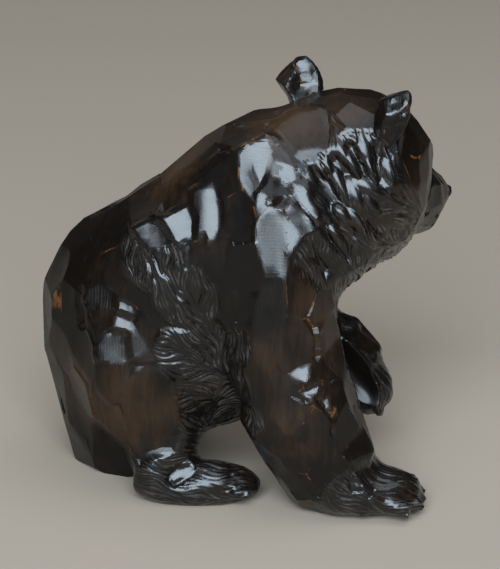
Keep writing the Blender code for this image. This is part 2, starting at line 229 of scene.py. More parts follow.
def trunk():
    return [
        Ball((-19.5, 8, 37.5), (28, 20, 27), (0, 0, -17), blend=0),
        Ball((-28, 11, 22), (17.5, 14, 30), (0, 0, -17), blend=6),
        Limb((-15, 5, 46), 21, (4, 1, 64), 17, blend=8),
        Ball((-13, 1, 58), (14, 14.5, 15), blend=8),
        Limb((3, 1, 68.5), 17.5, (16, 3, 72), 15, blend=7),
        Ball((6, 0, 50), (15, 15, 17), blend=6),
        Ball((-7, 3, 32), (17, 13.5, 18.5), blend=6),
    ]


def near_fore_leg():
    return [
        Ball((5, -10.5, 57), (14, 11.5, 20), blend=5),
        Limb((8, -13, 45), 11, (8.5, -14, 35), 11, blend=6),
        Limb((8.5, -14, 35), 11, (12, -15, 23), 12.3, blend=5),
        Limb((12, -15, 23), 12.3, (17, -15, 11), 11.5, blend=4),
        Ball((26, -17.5, 5), (13, 8.5, 5.5), blend=4),
    ] + toes((34, -17.5, 3.6), (1, -0.1, -0.12), 6.6, 4.2, 3.6)


def far_fore_leg():
    return [
        Ball((5, 10, 61), (13, 10, 17), blend=5),
        Limb((7, 12, 54), 12, (10, 14, 34), 9.5, blend=5),
        Limb((12, 14, 31), 9, (22, 13.5, 25.5), 8, blend=4),
        Limb((22, 13.5, 25.5), 8, (27.3, 12.5, 18.5), 6.2, blend=3),
        Ball((28.2, 12.5, 16.8), (5.2, 6.5, 5.6), blend=3),
    ] + toes((29.6, 12.5, 15.8), (0.35, 0, -1), 5.2, 3.2, 2.8)


def near_hind_leg():
    return [
        Ball((-24, -6, 28.5), (13.5, 10.5, 19), (0, 0, -8), blend=4),
        Limb((-18, -7, 16), 8.5, (-20, -10, 8), 7, blend=4),
        Ball((-11.5, -12, 4), (14.5, 6, 5.5), blend=3),
    ] + toes((-2.2, -11.6, 3.6), (1, 0.12, -0.1), 4.8, 3.2, 4.6)


def far_hind_leg():
    return [
        Ball((-19, 23, 24), (14, 9, 19), (0, 0, -5), blend=4),
        Limb((-20, 26, 13), 7, (-23, 27, 7), 7, blend=4),
        Ball((-22, 29, 4), (12, 6, 5.5), (0, 0, 38), blend=3),
    ] + toes((-16, 33.2, 3.6), (0.79, 0.61, -0.1), 4.6, 3.0, 3.8)


def head():
    parts = [
        head_ball((0, 0, 0), (17, 16, 15), blend=5),
        head_limb((10, 0, -3.5), 9.5, (25, 0, -4), 6.5, blend=4),
        head_limb((8, -1, -10), 12, (20, 0, -6.5), 7.5, blend=4),
        head_limb((20, 0, -6.5), 7.5, (27, 0, -8.2), 4.8, blend=3),
        head_ball((30.2, 0, -1.6), (3.4, 3.8, 3.0), blend=1),
        Limb((18, -2, 62), 14, (26, 4, 64), 12, blend=5),
    ]
    for side in (-1, 1):
        parts += [
            head_ball((10, side * 7, 4.6), (5.5, 5, 5), blend=3),
            head_ball((1, side * 10, -6), (11, 8, 11), blend=4),
            head_ball((-10.3, side * 15.3, 11.2), (3.2, 5.3, 5.7), (0, 0, side * 25), blend=2),
        ]
    return parts


def hollows():
    """What is cut out of the figure: mouth, palm, eye sockets, ear cups and nostrils."""
    parts = [
        head_limb((33, 0, -6.2), 0.8, (24, 5.4, -7.2), 0.7, blend=0.8),
        head_limb((33, 0, -6.2), 0.8, (24, -5.4, -7.2), 0.7, blend=0.8),
        Ball((23.5, 3.5, 23.9), (11, 5, 5), (0, 51, 0), blend=1.5),
    ]
    for side in (-1, 1):
        parts += [
            head_ball((15.5, side * 7.2, 1.4), (3.4, 2.6, 2.4), blend=1.5),
            head_ball((-7.2, side * 16.6, 12.2), (3.0, 3.6, 4.2), (0, 0, side * 25), blend=1.2),
            head_ball((33.2, side * 1.9, -1.4), (1.5, 0.9, 0.9), blend=0.4),
        ]
    return parts


def eyes():
    return [head_ball((14.2, side * 6.7, 1.5), (2.2, 1.9, 1.7), blend=0.4) for side in (-1, 1)]


def masses():
    return (trunk() + near_hind_leg() + far_hind_leg() + near_fore_leg() + far_fore_leg() + head())


def smooth_min(first, second, blend):
    if blend == 0:
        return np.minimum(first, second)
    mix = clamp(0.5 + 0.5 * (second - first) / blend)
    return second * (1 - mix) + first * mix - blend * mix * (1 - mix)


FIGURE = masses()
HOLLOWS = hollows()
EYES = eyes()


def figure_distance(points):
    """How far points near the blended skin are from it."""
    total = np.full(len(points), FAR_OFF)
    for side, parts in ((1, FIGURE), (-1, HOLLOWS), (1, EYES)):
        for part in parts:
            reach = part.span + part.blend + BLEND_REACH
            near = squared(points - part.middle) < reach ** 2
            joined = smooth_min(side * total[near], part.distance(points[near]), part.blend)
            total[near] = side * joined
    return total


def slope(points, gap, step=0.02):
    """How the distance grows along each axis, where the distance itself is gap."""
    grown = np.empty_like(points)
    for axis in range(3):
        shift = np.zeros(3)
        shift[axis] = step
        grown[:, axis] = figure_distance(points + shift) - gap
    return grown / step


def settle(points, rounds):
    """Moves points onto the blended skin."""
    for _ in range(rounds):
        gap = figure_distance(points)
        lean = slope(points, gap)
        size = np.maximum(squared(lean), LEAST_SLOPE)
        move = lean * (gap / size)[:, None]
        length = np.linalg.norm(move, axis=1)
        limit = np.minimum(1, LONGEST_MOVE / np.maximum(length, TINY))
        points = points - move * limit[:, None]
    return points


def read_points(mesh):
    flat = np.empty(len(mesh.vertices) * 3)
    mesh.vertices.foreach_get("co", flat)
    return flat.reshape(-1, 3)


def read_edges(mesh):
    flat = np.empty(len(mesh.edges) * 2, np.int32)
    mesh.edges.foreach_get("vertices", flat)
    return flat.reshape(-1, 2)


def write_points(mesh, points):
    mesh.vertices.foreach_set("co", points.ravel())
    mesh.update()


# The lie of the fur: a place on the skin and the way the strokes run there
FUR_GUIDES = (
    ((-40, 10, 40), (-0.2, 0, -1)), ((-20, 0, 66), (-0.9, 0, -0.4)),
    ((0, 0, 84), (-0.9, 0, -0.4)), ((-20, -13, 58), (0.25, 0, -0.95)),
    ((-16, -12, 50), (0.45, 0, -0.9)), ((-11, -11, 56), (0.05, 0, -1)),
    ((-5, -10, 56), (-0.45, 0, -0.9)), ((-12, -11, 44), (0.5, 0, -0.85)),
    ((-3, -10, 46), (-0.6, 0, -0.75)), ((-4, -9, 36), (-0.8, 0, -0.5)),
    ((-3, -8, 27), (-0.9, 0, -0.25)), ((-4, -7, 20), (-0.9, 0, -0.3)),
    ((-24, -14, 42), (0.9, 0, -0.4)), ((-16, -14, 37), (0.95, 0.1, -0.25)),
    ((-11, -13, 30), (0.95, 0.3, 0.05)), ((-10, -12, 20), (0.9, 0.3, -0.2)),
    ((-20, -16, 6), (1, 0, -0.2)), ((0, -14, 5), (1, 0, 0)), ((2, -20, 62), (0.2, 0, -1)),
    ((14, -18, 70), (0.45, 0, -0.9)), ((20, -14, 60), (0.5, 0, -0.85)),
    ((26, -12, 76), (0.3, -0.2, -0.9)), ((32, -6, 62), (0.5, 0.2, -0.8)),
    ((30, -9, 70), (0.9, 0.2, -0.3)), ((10, -25, 36), (0.1, 0, -1)),
    ((20, -8, 48), (0.45, 0, -0.9)), ((16, -24, 16), (0.5, 0, -0.8)),
    ((30, -18, 8), (1, 0, -0.2)), ((20, 12, 33), (0.8, 0, -0.6)), ((32, 12, 20), (0.3, 0, -1)),
    ((8, 20, 55), (0.2, 0, -1)), ((-12, 22, 45), (0.3, 0, -0.95)),
    ((-12, 28, 20), (0.6, 0.4, -0.6)), ((-14, 33, 4), (0.8, 0.6, 0)),
)

# Where the fur is cut in strokes instead of broad flats: balls on the figure, middle and radius
FUR_PLACES = (
    ((-20, -12, 58), 8), ((-13, -11, 50), 9), ((-7, -9, 40), 9), ((-3, -9, 28), 9),
    ((-3, -7, 18), 9), ((-15, -14, 37), 6), ((-11.5, -13, 29), 6), ((-10, -12, 20), 6),
    ((-10, -12, 12), 7), ((-18, -15, 4), 9), ((-8, -15, 4), 10), ((2, -12, 4), 6),
    ((14, -16, 72), 9), ((17, -14, 62), 10), ((24, -12, 78), 9), ((24, -12, 68), 10),
    ((30, -8, 66), 9), ((18, -4, 82), 6), ((27, -3, 55), 9), ((20, -8, 52), 8), ((20, -6, 44), 7),
    ((36, 2, 60), 8), ((0, -18, 40), 5), ((1, -18, 32), 5), ((4, -20, 24), 5), ((22, -20, 7), 8),
    ((32, -18, 5), 10), ((-14, 27, 40), 9), ((-6, 20, 32), 10), ((-4, 12, 16), 10),
    ((-20, 30, 5), 13), ((12, 20, 66), 10), ((20, 22, 72), 9), ((12, 24, 78), 8),
    ((20, 10, 50), 9), ((20, 14, 32), 6), ((29, 12, 18), 9), ((30, 14, 60), 8),
)

# Where the fur stands in deep leaves: the neck and the cheeks
LEAFY_PLACES = (
    ((14, -16, 72), 9), ((18, -14, 62), 9), ((24, -12, 76), 9), ((24, -12, 68), 9),
    ((12, 20, 66), 10), ((20, 22, 72), 9), ((12, 24, 78), 8), ((30, 14, 60), 8),
)

# Where hands have thinned the stain: crown, chest, elbow, lower thigh and back
THIN_PLACES = (
    ((8, -2, 88), 9), ((20, -2, 86), 7), ((17, -20, 45), 9), ((13, -22, 52), 6),
    ((-24, -15, 24), 10), ((-14, 0, 72), 10), ((-38, -6, 22), 10), ((38, -6, 66), 8),
    ((4, -24, 38), 5), ((9, -24, 22), 6), ((6, 20, 45), 12), ((-30, 22, 30), 14),
    ((30, 8, 88), 7),
)

# Where the cuts are worn softest: the head and the ears
SOFT_PLACES = (
    ((30, -2, 76), 14), ((36, 12, 66), 10),
)

# Where leaves and strokes are shallow: the paws
SHALLOW_PLACES = (
    ((-16, -15, 4), 13), ((2, -12, 4), 8), ((28, -18, 5), 13),
)

# Where the wax has gone dull: rump and back
DULL_PLACES = (
    ((-43, 2, 36), 15), ((-38, -4, 14), 15), ((-34, 0, 58), 11), ((-22, 6, 72), 10),
)

# Places with smaller flats: middle, radius and spacing
SMALLER_FLATS = (
    ((24, 5, 76), 22, 4.6), ((44, 24, 62), 12, 2.6), ((14, 14, 90), 8, 3.0),
    ((34, -8, 84), 9, 3.0), ((-24, -14, 32), 12, 5.2), ((14, -16, 26), 14, 4.6),
    ((28, 12, 20), 12, 3.4), ((0, -16, 4), 14, 3.4),
)

# Flats hewn by hand on the right side and the ears. Each has its outline as the camera sees it, how
# far it faces from the window in degrees, the slant of its tool marks in degrees, how strong they
# are, and its bow.
HAND_FLATS = (
    (((246, 144), (255, 140), (267, 137), (271, 142), (273, 157), (270, 170), (262, 182),
      (256, 186), (250, 168)), 0, 5, 0.6, 0.3),
    (((241, 147), (246, 144), (250, 168), (257, 187), (251, 200), (243, 190), (236, 178),
      (239, 160)), 9, 60, 0.2, 0.0),
    (((271, 142), (283, 150), (290, 160), (296, 165), (284, 165), (277, 161), (273, 155)), 15, 30,
      0.2, 0.0),
    (((275, 174), (282, 168), (290, 165), (296, 166), (302, 179), (292, 181), (283, 177)), 3, 20,
      0.1, 0.0),
    (((272, 178), (283, 178), (292, 182), (294, 192), (281, 193), (271, 196), (270, 188)), 26, 0,
      0.3, 0.6),
    (((271, 197), (281, 194), (292, 195), (291, 199), (287, 205), (277, 206), (270, 204)), 26, 0,
      0.3, 0.6),
    (((293, 182), (299, 178), (307, 183), (311, 190), (312, 200), (318, 212), (318, 221),
      (310, 213), (301, 200)), 5, 60, 0.1, -0.9),
    (((288, 201), (292, 199), (305, 213), (316, 231), (303, 237), (291, 222), (286, 210)), 14, 60,
      0.1, 0.0),
    (((260, 190), (267, 190), (270, 204), (263, 211), (255, 218), (252, 207)), 6, 0, 0.6, 0.0),
    (((256, 222), (263, 213), (270, 206), (277, 211), (284, 214), (287, 226), (288, 240),
      (288, 258), (286, 277), (266, 278), (257, 252), (253, 238)), 10, 3, 1.0, 0.3),
    (((284, 214), (292, 224), (303, 237), (300, 245), (289, 257), (288, 235)), 7, 50, 0.2, 0.0),
    (((135, 230), (142, 226), (150, 221), (160, 221), (167, 231), (172, 241), (163, 248),
      (157, 250), (150, 252), (143, 243)), 9, -8, 0.8, 0.2),
    (((160, 219), (175, 210), (188, 203), (191, 209), (195, 216), (195, 230), (197, 243),
      (190, 239), (184, 241), (180, 250), (173, 241), (167, 230)), 2, 20, 0.1, 0.0),
    (((190, 205), (191, 191), (197, 186), (207, 183), (212, 190), (216, 204), (217, 226),
      (212, 240), (208, 246), (204, 234), (197, 243), (195, 230), (195, 216)), 8, 0, 0.9, -0.8),
    (((87, 286), (99, 284), (110, 289), (112, 297), (113, 311), (104, 311), (85, 300)), 11, 90,
      0.9, 0.3),
    (((112, 298), (121, 300), (131, 307), (135, 313), (128, 319), (119, 314), (113, 312)), 4, 0,
      0.2, 0.0),
    (((113, 312), (120, 315), (128, 319), (132, 321), (128, 334), (118, 331), (109, 329)), 3, 0,
      0.1, 0.0),
    (((86, 302), (98, 308), (113, 312), (109, 329), (102, 336), (97, 344), (92, 328)), 19, 60,
      0.1, 0.0),
    (((98, 345), (102, 337), (112, 331), (125, 335), (127, 346), (130, 361), (124, 365),
      (112, 365), (99, 362), (96, 354)), 11, 90, 0.6, 0.3),
    (((128, 334), (132, 322), (137, 329), (143, 340), (148, 352), (156, 362), (145, 362),
      (131, 361), (127, 346)), 10, 30, 0.1, 0.0),
    (((98, 364), (112, 367), (123, 366), (124, 380), (119, 404), (106, 402), (99, 392)), 32, 80,
      0.2, 0.0),
    (((135, 372), (148, 369), (160, 374), (168, 395), (179, 415), (176, 432), (150, 440),
      (130, 432), (121, 405), (126, 385)), 32, 80, 0.3, 0.0),
    (((267, 279), (276, 277), (285, 279), (287, 300), (286, 320), (281, 352), (272, 372),
      (262, 376), (252, 352), (249, 330), (256, 305)), 20, 90, 0.5, -0.4),
    (((288, 374), (296, 369), (311, 368), (310, 378), (302, 382), (295, 384)), 6, 70, 0.6, 0.0),
    (((299, 391), (311, 385), (322, 380), (321, 391), (314, 396), (306, 398)), 7, 60, 1.0, 0.4),
    (((318, 399), (324, 397), (330, 397), (333, 405), (334, 414), (326, 410), (321, 404)), 3, 0,
      0.1, 0.0),
    (((270, 128), (285, 122), (305, 114), (322, 110), (327, 124), (326, 150), (316, 151),
      (304, 156), (290, 150), (280, 140)), 17, 60, 0.1, -0.5),
    (((168, 480), (178, 468), (190, 461), (194, 466), (192, 473), (182, 481), (174, 487)), 7, 30,
      0.3, 0.0),
    (((350, 476), (356, 478), (364, 485), (373, 490), (352, 491)), 4, 0, 0.1, 0.0),
    (((291, 62), (300, 57), (309, 62), (314, 69), (296, 70)), 4, 0, 0.1, 0.0),
    (((294, 72), (314, 71), (318, 78), (297, 81)), 6, 0, 0.1, 0.0),
    (((294, 83), (318, 80), (321, 86), (297, 93)), 5, 0, 0.1, 0.0),
    (((399, 109), (409, 107), (412, 118), (403, 120)), 4, 0, 0.1, 0.0),
    (((384, 104), (394, 97), (405, 96), (408, 105), (398, 108), (388, 118)), 13, 90, 0.6, 0.0),
)

# Leaves of fur cut by hand on the neck and flank, as the camera sees them: tip, root and width
HAND_LEAVES = (
    ((298, 157), (321, 188), 13), ((311, 152), (328, 180), 9), ((331, 167), (356, 213), 14),
    ((344, 148), (363, 185), 12), ((365, 148), (380, 192), 11), ((346, 122), (360, 148), 10),
    ((361, 120), (377, 146), 11), ((312, 188), (331, 226), 14), ((334, 204), (354, 228), 13),
    ((360, 183), (389, 234), 14), ((350, 207), (373, 247), 13), ((330, 224), (350, 262), 13),
    ((320, 150), (337, 178), 9), ((317, 226), (335, 258), 12), ((136, 250), (152, 292), 12),
    ((150, 253), (163, 300), 12), ((165, 243), (181, 292), 13), ((181, 241), (196, 300), 14),
    ((196, 241), (204, 300), 13), ((140, 290), (163, 330), 11), ((158, 297), (180, 338), 12),
    ((178, 292), (195, 345), 12), ((210, 240), (203, 300), 12),
)

# The camera, in the figure's grid: what it looks at, how far off and how high it stands, and in
# metres how far it sees; then its view, in points
AIM = np.array((0.5, 0.0, 47.3))
CAMERA_RISE = math.radians(19.8)
CAMERA_WAY = np.array((0.0, -math.cos(CAMERA_RISE), math.sin(CAMERA_RISE)))
CAMERA_UP = np.array((0.0, math.sin(CAMERA_RISE), math.cos(CAMERA_RISE)))
CAMERA_DISTANCE = 602.0
CAMERA_SIGHT = 50
VIEW_WIDTH, VIEW_HEIGHT, VIEW_REACH = 500, 569, 2680
PICTURE_SCALE = VIEW_REACH / CAMERA_DISTANCE

# The facing that throws the window's light at the camera
GLINT_WAY = np.array((-0.03, -0.89, 0.454))

# The soft lamps: the way to each, its distance, its width and height in metres, its radiance and
# colour. The way to the window follows from GLINT_WAY.
WINDOW = (5.2, (4.0, 3.2), 13.5, (0.74, 0.88, 1.0))
CEILING = ((0.25, -0.1, 1.0), 3.0, (2.6, 2.6), 2.2, (0.80, 0.90, 1.0))
ROOM_FILL = ((-0.5, 0.8, 0.7), 3.0, (2.0, 2.0), 0.4, (1.0, 0.90, 0.80))

# The faint light of the room, and the floor, with its half width in metres
ROOM_COLOUR = (1.0, 0.86, 0.74, 1)
ROOM_STRENGTH = 0.03
FLOOR_SIZE = 30
FLOOR_COLOUR = (0.36, 0.29, 0.225, 1)
FLOOR_ROUGHNESS = 0.9

SEED = 7

# The curls in the lie of the fur, in radians, and how far each guide's say is blurred
BROAD_CURL = 0.36
CLOSE_CURL = 0.20
GUIDE_BLUR = 20

# How near the eyes and hollows no cut comes, and over what it fades in
SPARED_RIM = 0.9
SPARED_FADE = 0.4
SPARED_REACH = 3

# Hand-hewn flats: how squarely the skin faces the camera, the room kept around an outline in the
# view, how far behind its nearest skin a flat reaches, the rim in which two flats blend, how near
# two flats count as a pair, and how much of the stated bow is cut
HAND_FACING = 0.1
HAND_MARGIN = 10
HAND_REACH = 12.0
HAND_RIM = 0.9
HAND_CLEAR = 1.5
PAIR_GAP = 0.5
HAND_BOW = 0.5

# How far, in degrees, a hand-hewn flat may turn towards the window, and how far the other flats
# on the right side turn away from it when they come near
MOST_TURN = 24
SHY_TURN = 7
SHY_ANGLE = 20
NEAR_SIDE = 5

# How the skin sinks towards the hand-hewn flats
OFFSET_ROUNDS = 70
OFFSET_FADE = 0.965

# How firmly a flat keeps to the skin, its facing and its place when neighbours are joined, and
# how alike two flats have to face to be joined
SKIN_HOLD = 0.02
HAND_HOLD = 3000.0
FREE_HOLD = 120.0
SHIFT_HOLD = 0.1
MEETING_FACING = 0.5

# Flats: how far apart, how much farther along the fur, how hollow, how unevenly they face and
# run, and how much a turn of the skin counts as distance
FLAT_SPACING = 7.2
SPACING_FADE = 3
FLAT_STRETCH = 1.5
FLAT_HOLLOW = 0.10
FLAT_TILT = 0.04
WAY_TILT = 0.25
TURN_WEIGHT = 2.0
LAYOUT_ROUNDS = 4
LEAST_LEAN = 0.4
AT_ONCE = 20000

# The tool marks' strength, as a mean, a spread and a least
RIPPLE_CHANCE = (0.15, 0.3)
RIPPLE_LEAST = 0.05

# Where flats meet: how many are felt, how far one may rise over the next, what counts as a full
# bulge, the band and step in which a dip is eased, and how far a flat leaves the skin
FLATS_FELT = 5
FLAT_REACH = 0.16
FULL_BULGE = 0.02
ALIKE_FACING = 0.6
CONCAVE_BAND = 1.4
CONCAVE_STEP = 2
FLAT_RISE = 1.2
FLAT_SINK = 1.8
BOW_WIDTH = 0.6
BOW_END = 1.3

# Leaves: how far apart and how deep, where they fade, and the ranges of length, width and height
LEAF_SPACING = 4.3
LEAF_STRETCH = 1.8
LEAF_DEPTH = 1.5
LEAF_SHALLOW = 0.45
LEAF_FADE = 3.0
LEAF_TILT = 0.12
LEAF_LENGTHS = (1.1, 1.7)
LEAF_WIDTHS = (0.42, 0.60)
LEAF_TOPS = (0.75, 1.0)
LEAF_END = 1.15
LEAF_TAPER = 0.3
LEAF_ROUNDING = 0.6
LEAF_FACING = 0.2
HAND_LEAN = 0.5
HAND_ROOM = 3.8

# Strokes: how far apart, how wide and deep, the length of a step and the steps to either side
STROKE_PITCH = 0.86
STROKE_STRETCH = 7
STROKE_WIDTH = 0.60
STROKE_DEPTH = 0.36
STROKE_STEP = 0.5
STROKE_STEPS = 14
STROKE_END = 1.6
STROKE_TILT = 0.035
STROKE_BEND = 0.004
STROKE_LENGTHS = (0.5, 1.0)
STROKE_DEPTHS = (0.55, 1.0)
STROKES_FELT = 5
STROKE_FACING = 0.3
DEEPER = 0.6
DEEPER_SHARE = 0.2

# On the left side the strokes are wider apart and shallower; on leaves and paws shallower too
FAR_SIDE = 9.0
FAR_PITCH = 1.25
FAR_WIDTH = 0.85
FAR_DEPTH = 0.8
LEAFY_EASE = 0.88
SHALLOW_EASE = 0.5

# How much fur a place has to have for strokes, how little for flats, and how far above the floor
# the cuts start
STROKED_SHARE = 0.1
HEWN_SHARE = 0.7
FLOOR_ROOM = 0.5

# How steep the cuts may be, how the arrises are worn, and the angle at which an edge is sharp
FLAT_STEEP = 0.7
FUR_STEEP = 1.0
EASE_ROUNDS = 40
WORN_ROUNDS = 4
WORN_RIM = 1.3
SOFT_FADE = 3.0
CREASE = math.radians(8)
EYE_RIM = 0.35
EYE_ROOM = 2.0

# The wood's colours, among them painted shade for the fur's valleys and a painted highlight for its
# crests
DARK_STAIN = (0.0046, 0.0030, 0.0022)
THIN_STAIN = (0.034, 0.0172, 0.0082)
DEEP_STAIN = (0.003, 0.0025, 0.0022)
VALLEY_SHADE_PAINT = (0.0018, 0.0014, 0.0012)
CREST_HIGHLIGHT_PAINT = (0.076, 0.068, 0.062)
BARE_WOOD = (0.15, 0.058, 0.018)
EYE_BLACK = (0.002, 0.002, 0.002)

# How much of each colour shows: where the stain is thin, on the darker flats, along worn edges in
# mm, and the painted shade in the valleys of the fur and the painted highlight on its crests
STAIN_PATCHES = (22, 3)
STREAK_SIZES = (260, 260, 34)
STREAKS = (1.0, 5, 0.65)
THIN_STAIN_SHARE = 0.22
THIN_RANGE = (0.48, 0.85)
THIN_FADE = 5.0
SHADE_SHARE = 0.35
EDGE_PATCHES = (30, 2)
EDGE_WIDTHS = (0.42, 0.72, -0.25, 0.6)
EDGE_BLUR = 0.25
SPARED_BORDER = 5
CHIPS = (160, 3, 0.6)
CHIP_RANGE = (0.35, 0.6)
VALLEY_SHARE = 0.5
CREST_POWER = 3.0
CREST_SPECKS = (130, 3)
SPECK_RANGE = (0.38, 0.66, 0.0, 0.8)
CREST_PATCHES = (48, 2)
CREST_RANGE = (0.38, 0.62, 0.2, 1.0)

# How rough the stain is and how much smoother the eyes are; how thick the wax lies on the fur and
# on plain flats, how far in degrees a flat with full wax may face from the window, and how dull
# the wax has gone in its dull places
GLOSS_PATCHES = (60, 3)
GLOSS_RANGE = (0.3, 0.7, 0.34, 0.46)
EYE_GLOSS = 0.3
FUR_WAX = 0.95
FLAT_WAX = 0.5
BRIGHT_ANGLE = 16
DULL_SHARE = 0.5
DULL_FADE = 7.0

# The relief too fine for the mesh: strands and tool marks with their lengths in mm, and grain,
# with the depth of it all in metres
STRAND_APART = 2.6
FINE_STRAND_APART = 1.3
LEAFY_STRAND = 0.35
MARKS_APART = 2.2
CLOSE_MARKS_APART = 1.37
MARK_BOW = 0.004
MARK_DRIFT = (45, 2)
DRIFT_LENGTH = 3.5
MARK_PATCHES = (90, 2)
MARK_RANGE = (0.35, 0.62, 0.3, 1.0)
GRAIN_SIZES = (900, 900, 90)
GRAIN = (1.0, 3, 0.6)
BUMP_DEPTH = 0.00008


def in_balls(points, balls, soft=1.0):
    """One inside the balls, nought outside, with a soft rim."""
    share = np.zeros(len(points))
    for middle, radius in balls:
        gap = np.linalg.norm(points - np.array(middle, float), axis=1)
        share = np.maximum(share, clamp((radius + soft - gap) / (2 * soft)))
    return share


def fur_lie(points, normals):
    """The way the fur runs at each point, along the skin."""
    total = np.zeros_like(points)
    for place, way in FUR_GUIDES:
        gap = squared(points - np.array(place, float))
        way = np.array(way, float) / np.linalg.norm(way)
        total += way / (gap + GUIDE_BLUR)[:, None] ** 2
    way = unit(total - normals * dot(total, normals)[:, None])
    x, y, z = points.T
    sway = 1.1 * np.sin(0.21 * z + 0.4)
    curl = BROAD_CURL * np.sin(0.62 * x - 0.35 * y + 0.50 * z + sway)
    curl = (curl + CLOSE_CURL * np.sin(-0.43 * x + 0.5 * y + 0.95 * z))[:, None]
    return way * np.cos(curl) + np.cross(normals, way) * np.sin(curl)


def flat_spacing(points):
    """How far apart the flats are laid out at each point."""
    spacing = np.full(len(points), FLAT_SPACING)
    for middle, radius, smaller in SMALLER_FLATS:
        gap = np.linalg.norm(points - np.array(middle, float), axis=1)
        inside = clamp((radius - gap) / SPACING_FADE)
        spacing = np.minimum(spacing, FLAT_SPACING + (smaller - FLAT_SPACING) * inside)
    return spacing


def scatter(points, lie, allowed, spacing, stretch, seed):
    """Picks points that keep their distance, farther apart along the fur than across it."""
    order = np.random.default_rng(seed).permutation(np.flatnonzero(allowed))
    chosen = []
    for index in order:
        if chosen:
            offset = points[chosen] - points[index]
            along = offset @ lie[index]
            across = squared(offset) - along ** 2
            if (across + (along / stretch) ** 2).min() < spacing[index] ** 2:
                continue
        chosen.append(index)
    return np.array(chosen)


def spared(points):
    """One in the eyes, nostrils, mouth and other hollows, which no flat or stroke crosses."""
    share = np.zeros(len(points))
    for part in HOLLOWS + EYES:
        reach = part.span + SPARED_REACH
        near = np.flatnonzero(squared(points - part.middle) < reach ** 2)
        gap = np.abs(part.distance(points[near]))
        share[near] = np.maximum(share[near], clamp((SPARED_RIM - gap) / SPARED_FADE))
    return share


def tree_of(points):
    """A search tree of points."""
    tree = KDTree(len(points))
    for index, place in enumerate(points):
        tree.insert(place, index)
    tree.balance()
    return tree


def neighbour_count(edges, count):
    return np.maximum(np.bincount(edges.ravel(), minlength=count), 1)


def neighbour_sum(values, edges):
    """At each point, the sum of the values of the points that edges join it to."""
    first, second = edges[:, 0], edges[:, 1]
    total = np.bincount(first, values[second], len(values))
    total += np.bincount(second, values[first], len(values))
    return total


def seen(points):
    """Where the camera sees each point, in points of its view, and how far away it is."""
    offset = points - (AIM + CAMERA_WAY * CAMERA_DISTANCE)
    away = -offset @ CAMERA_WAY
    across = VIEW_WIDTH / 2 + VIEW_REACH * offset[:, 0] / away
    down = VIEW_HEIGHT / 2 - VIEW_REACH * (offset @ CAMERA_UP) / away
    return np.stack((across, down), axis=1), away


def within(spots, outline):
    """Which spots of the view lie inside an outline, and how far each is from its rim."""
    inside = np.zeros(len(spots), bool)
    rim = np.full(len(spots), ENDLESS)
    corners = np.array(outline, float)
    for start, end in zip(corners, np.roll(corners, -1, axis=0)):
        offset, side = spots - start, end - start
        share = clamp(offset @ side / (side @ side))
        rim = np.minimum(rim, np.linalg.norm(offset - share[:, None] * side, axis=1))
        if start[1] != end[1]:
            spans = (start[1] > spots[:, 1]) != (end[1] > spots[:, 1])
            crossing = side[0] * (spots[:, 1] - start[1]) / side[1] + start[0]
            inside ^= spans & (spots[:, 0] < crossing)
    return inside, rim


def hand_rims(points, normals):
    """For each hand-hewn flat, the points near it and how far inside its rim they are."""
    spots, away = seen(points)
    facing = normals @ CAMERA_WAY > HAND_FACING
    for number, cut in enumerate(HAND_FLATS):
        low = np.min(cut[0], axis=0) - HAND_MARGIN
        high = np.max(cut[0], axis=0) + HAND_MARGIN
        close = np.flatnonzero(((spots > low) & (spots < high)).all(axis=1) & facing)
        inside, gap = within(spots[close], cut[0])
        if not len(close):
            continue
        ahead = away[close][inside] if inside.any() else away[close]
        front = away[close] < ahead.min() + HAND_REACH
        yield number, close[front], np.where(inside, gap, -gap)[front] / PICTURE_SCALE


def hand_flats(points, normals):
    """The hand-hewn flat that each point lies in, or -1, and how far it is from a rim."""
    owner = np.full(len(points), -1)
    rim = np.full(len(points), ENDLESS)
    for number, close, gap in hand_rims(points, normals):
        rim[close] = np.minimum(rim[close], np.abs(gap))
        owner[close[gap > 0]] = number
    return owner, rim


def turned(facing, angle):
    """A facing turned towards the window by an angle in degrees."""
    side = unit(GLINT_WAY - facing * (facing @ GLINT_WAY))
    angle = math.radians(angle)
    return facing * math.cos(angle) + side * math.sin(angle)


def from_glint(facing):
    """How many degrees a facing is from the one that throws the window's light at the camera."""
    return math.degrees(math.acos(min(1, facing @ unit(GLINT_WAY))))


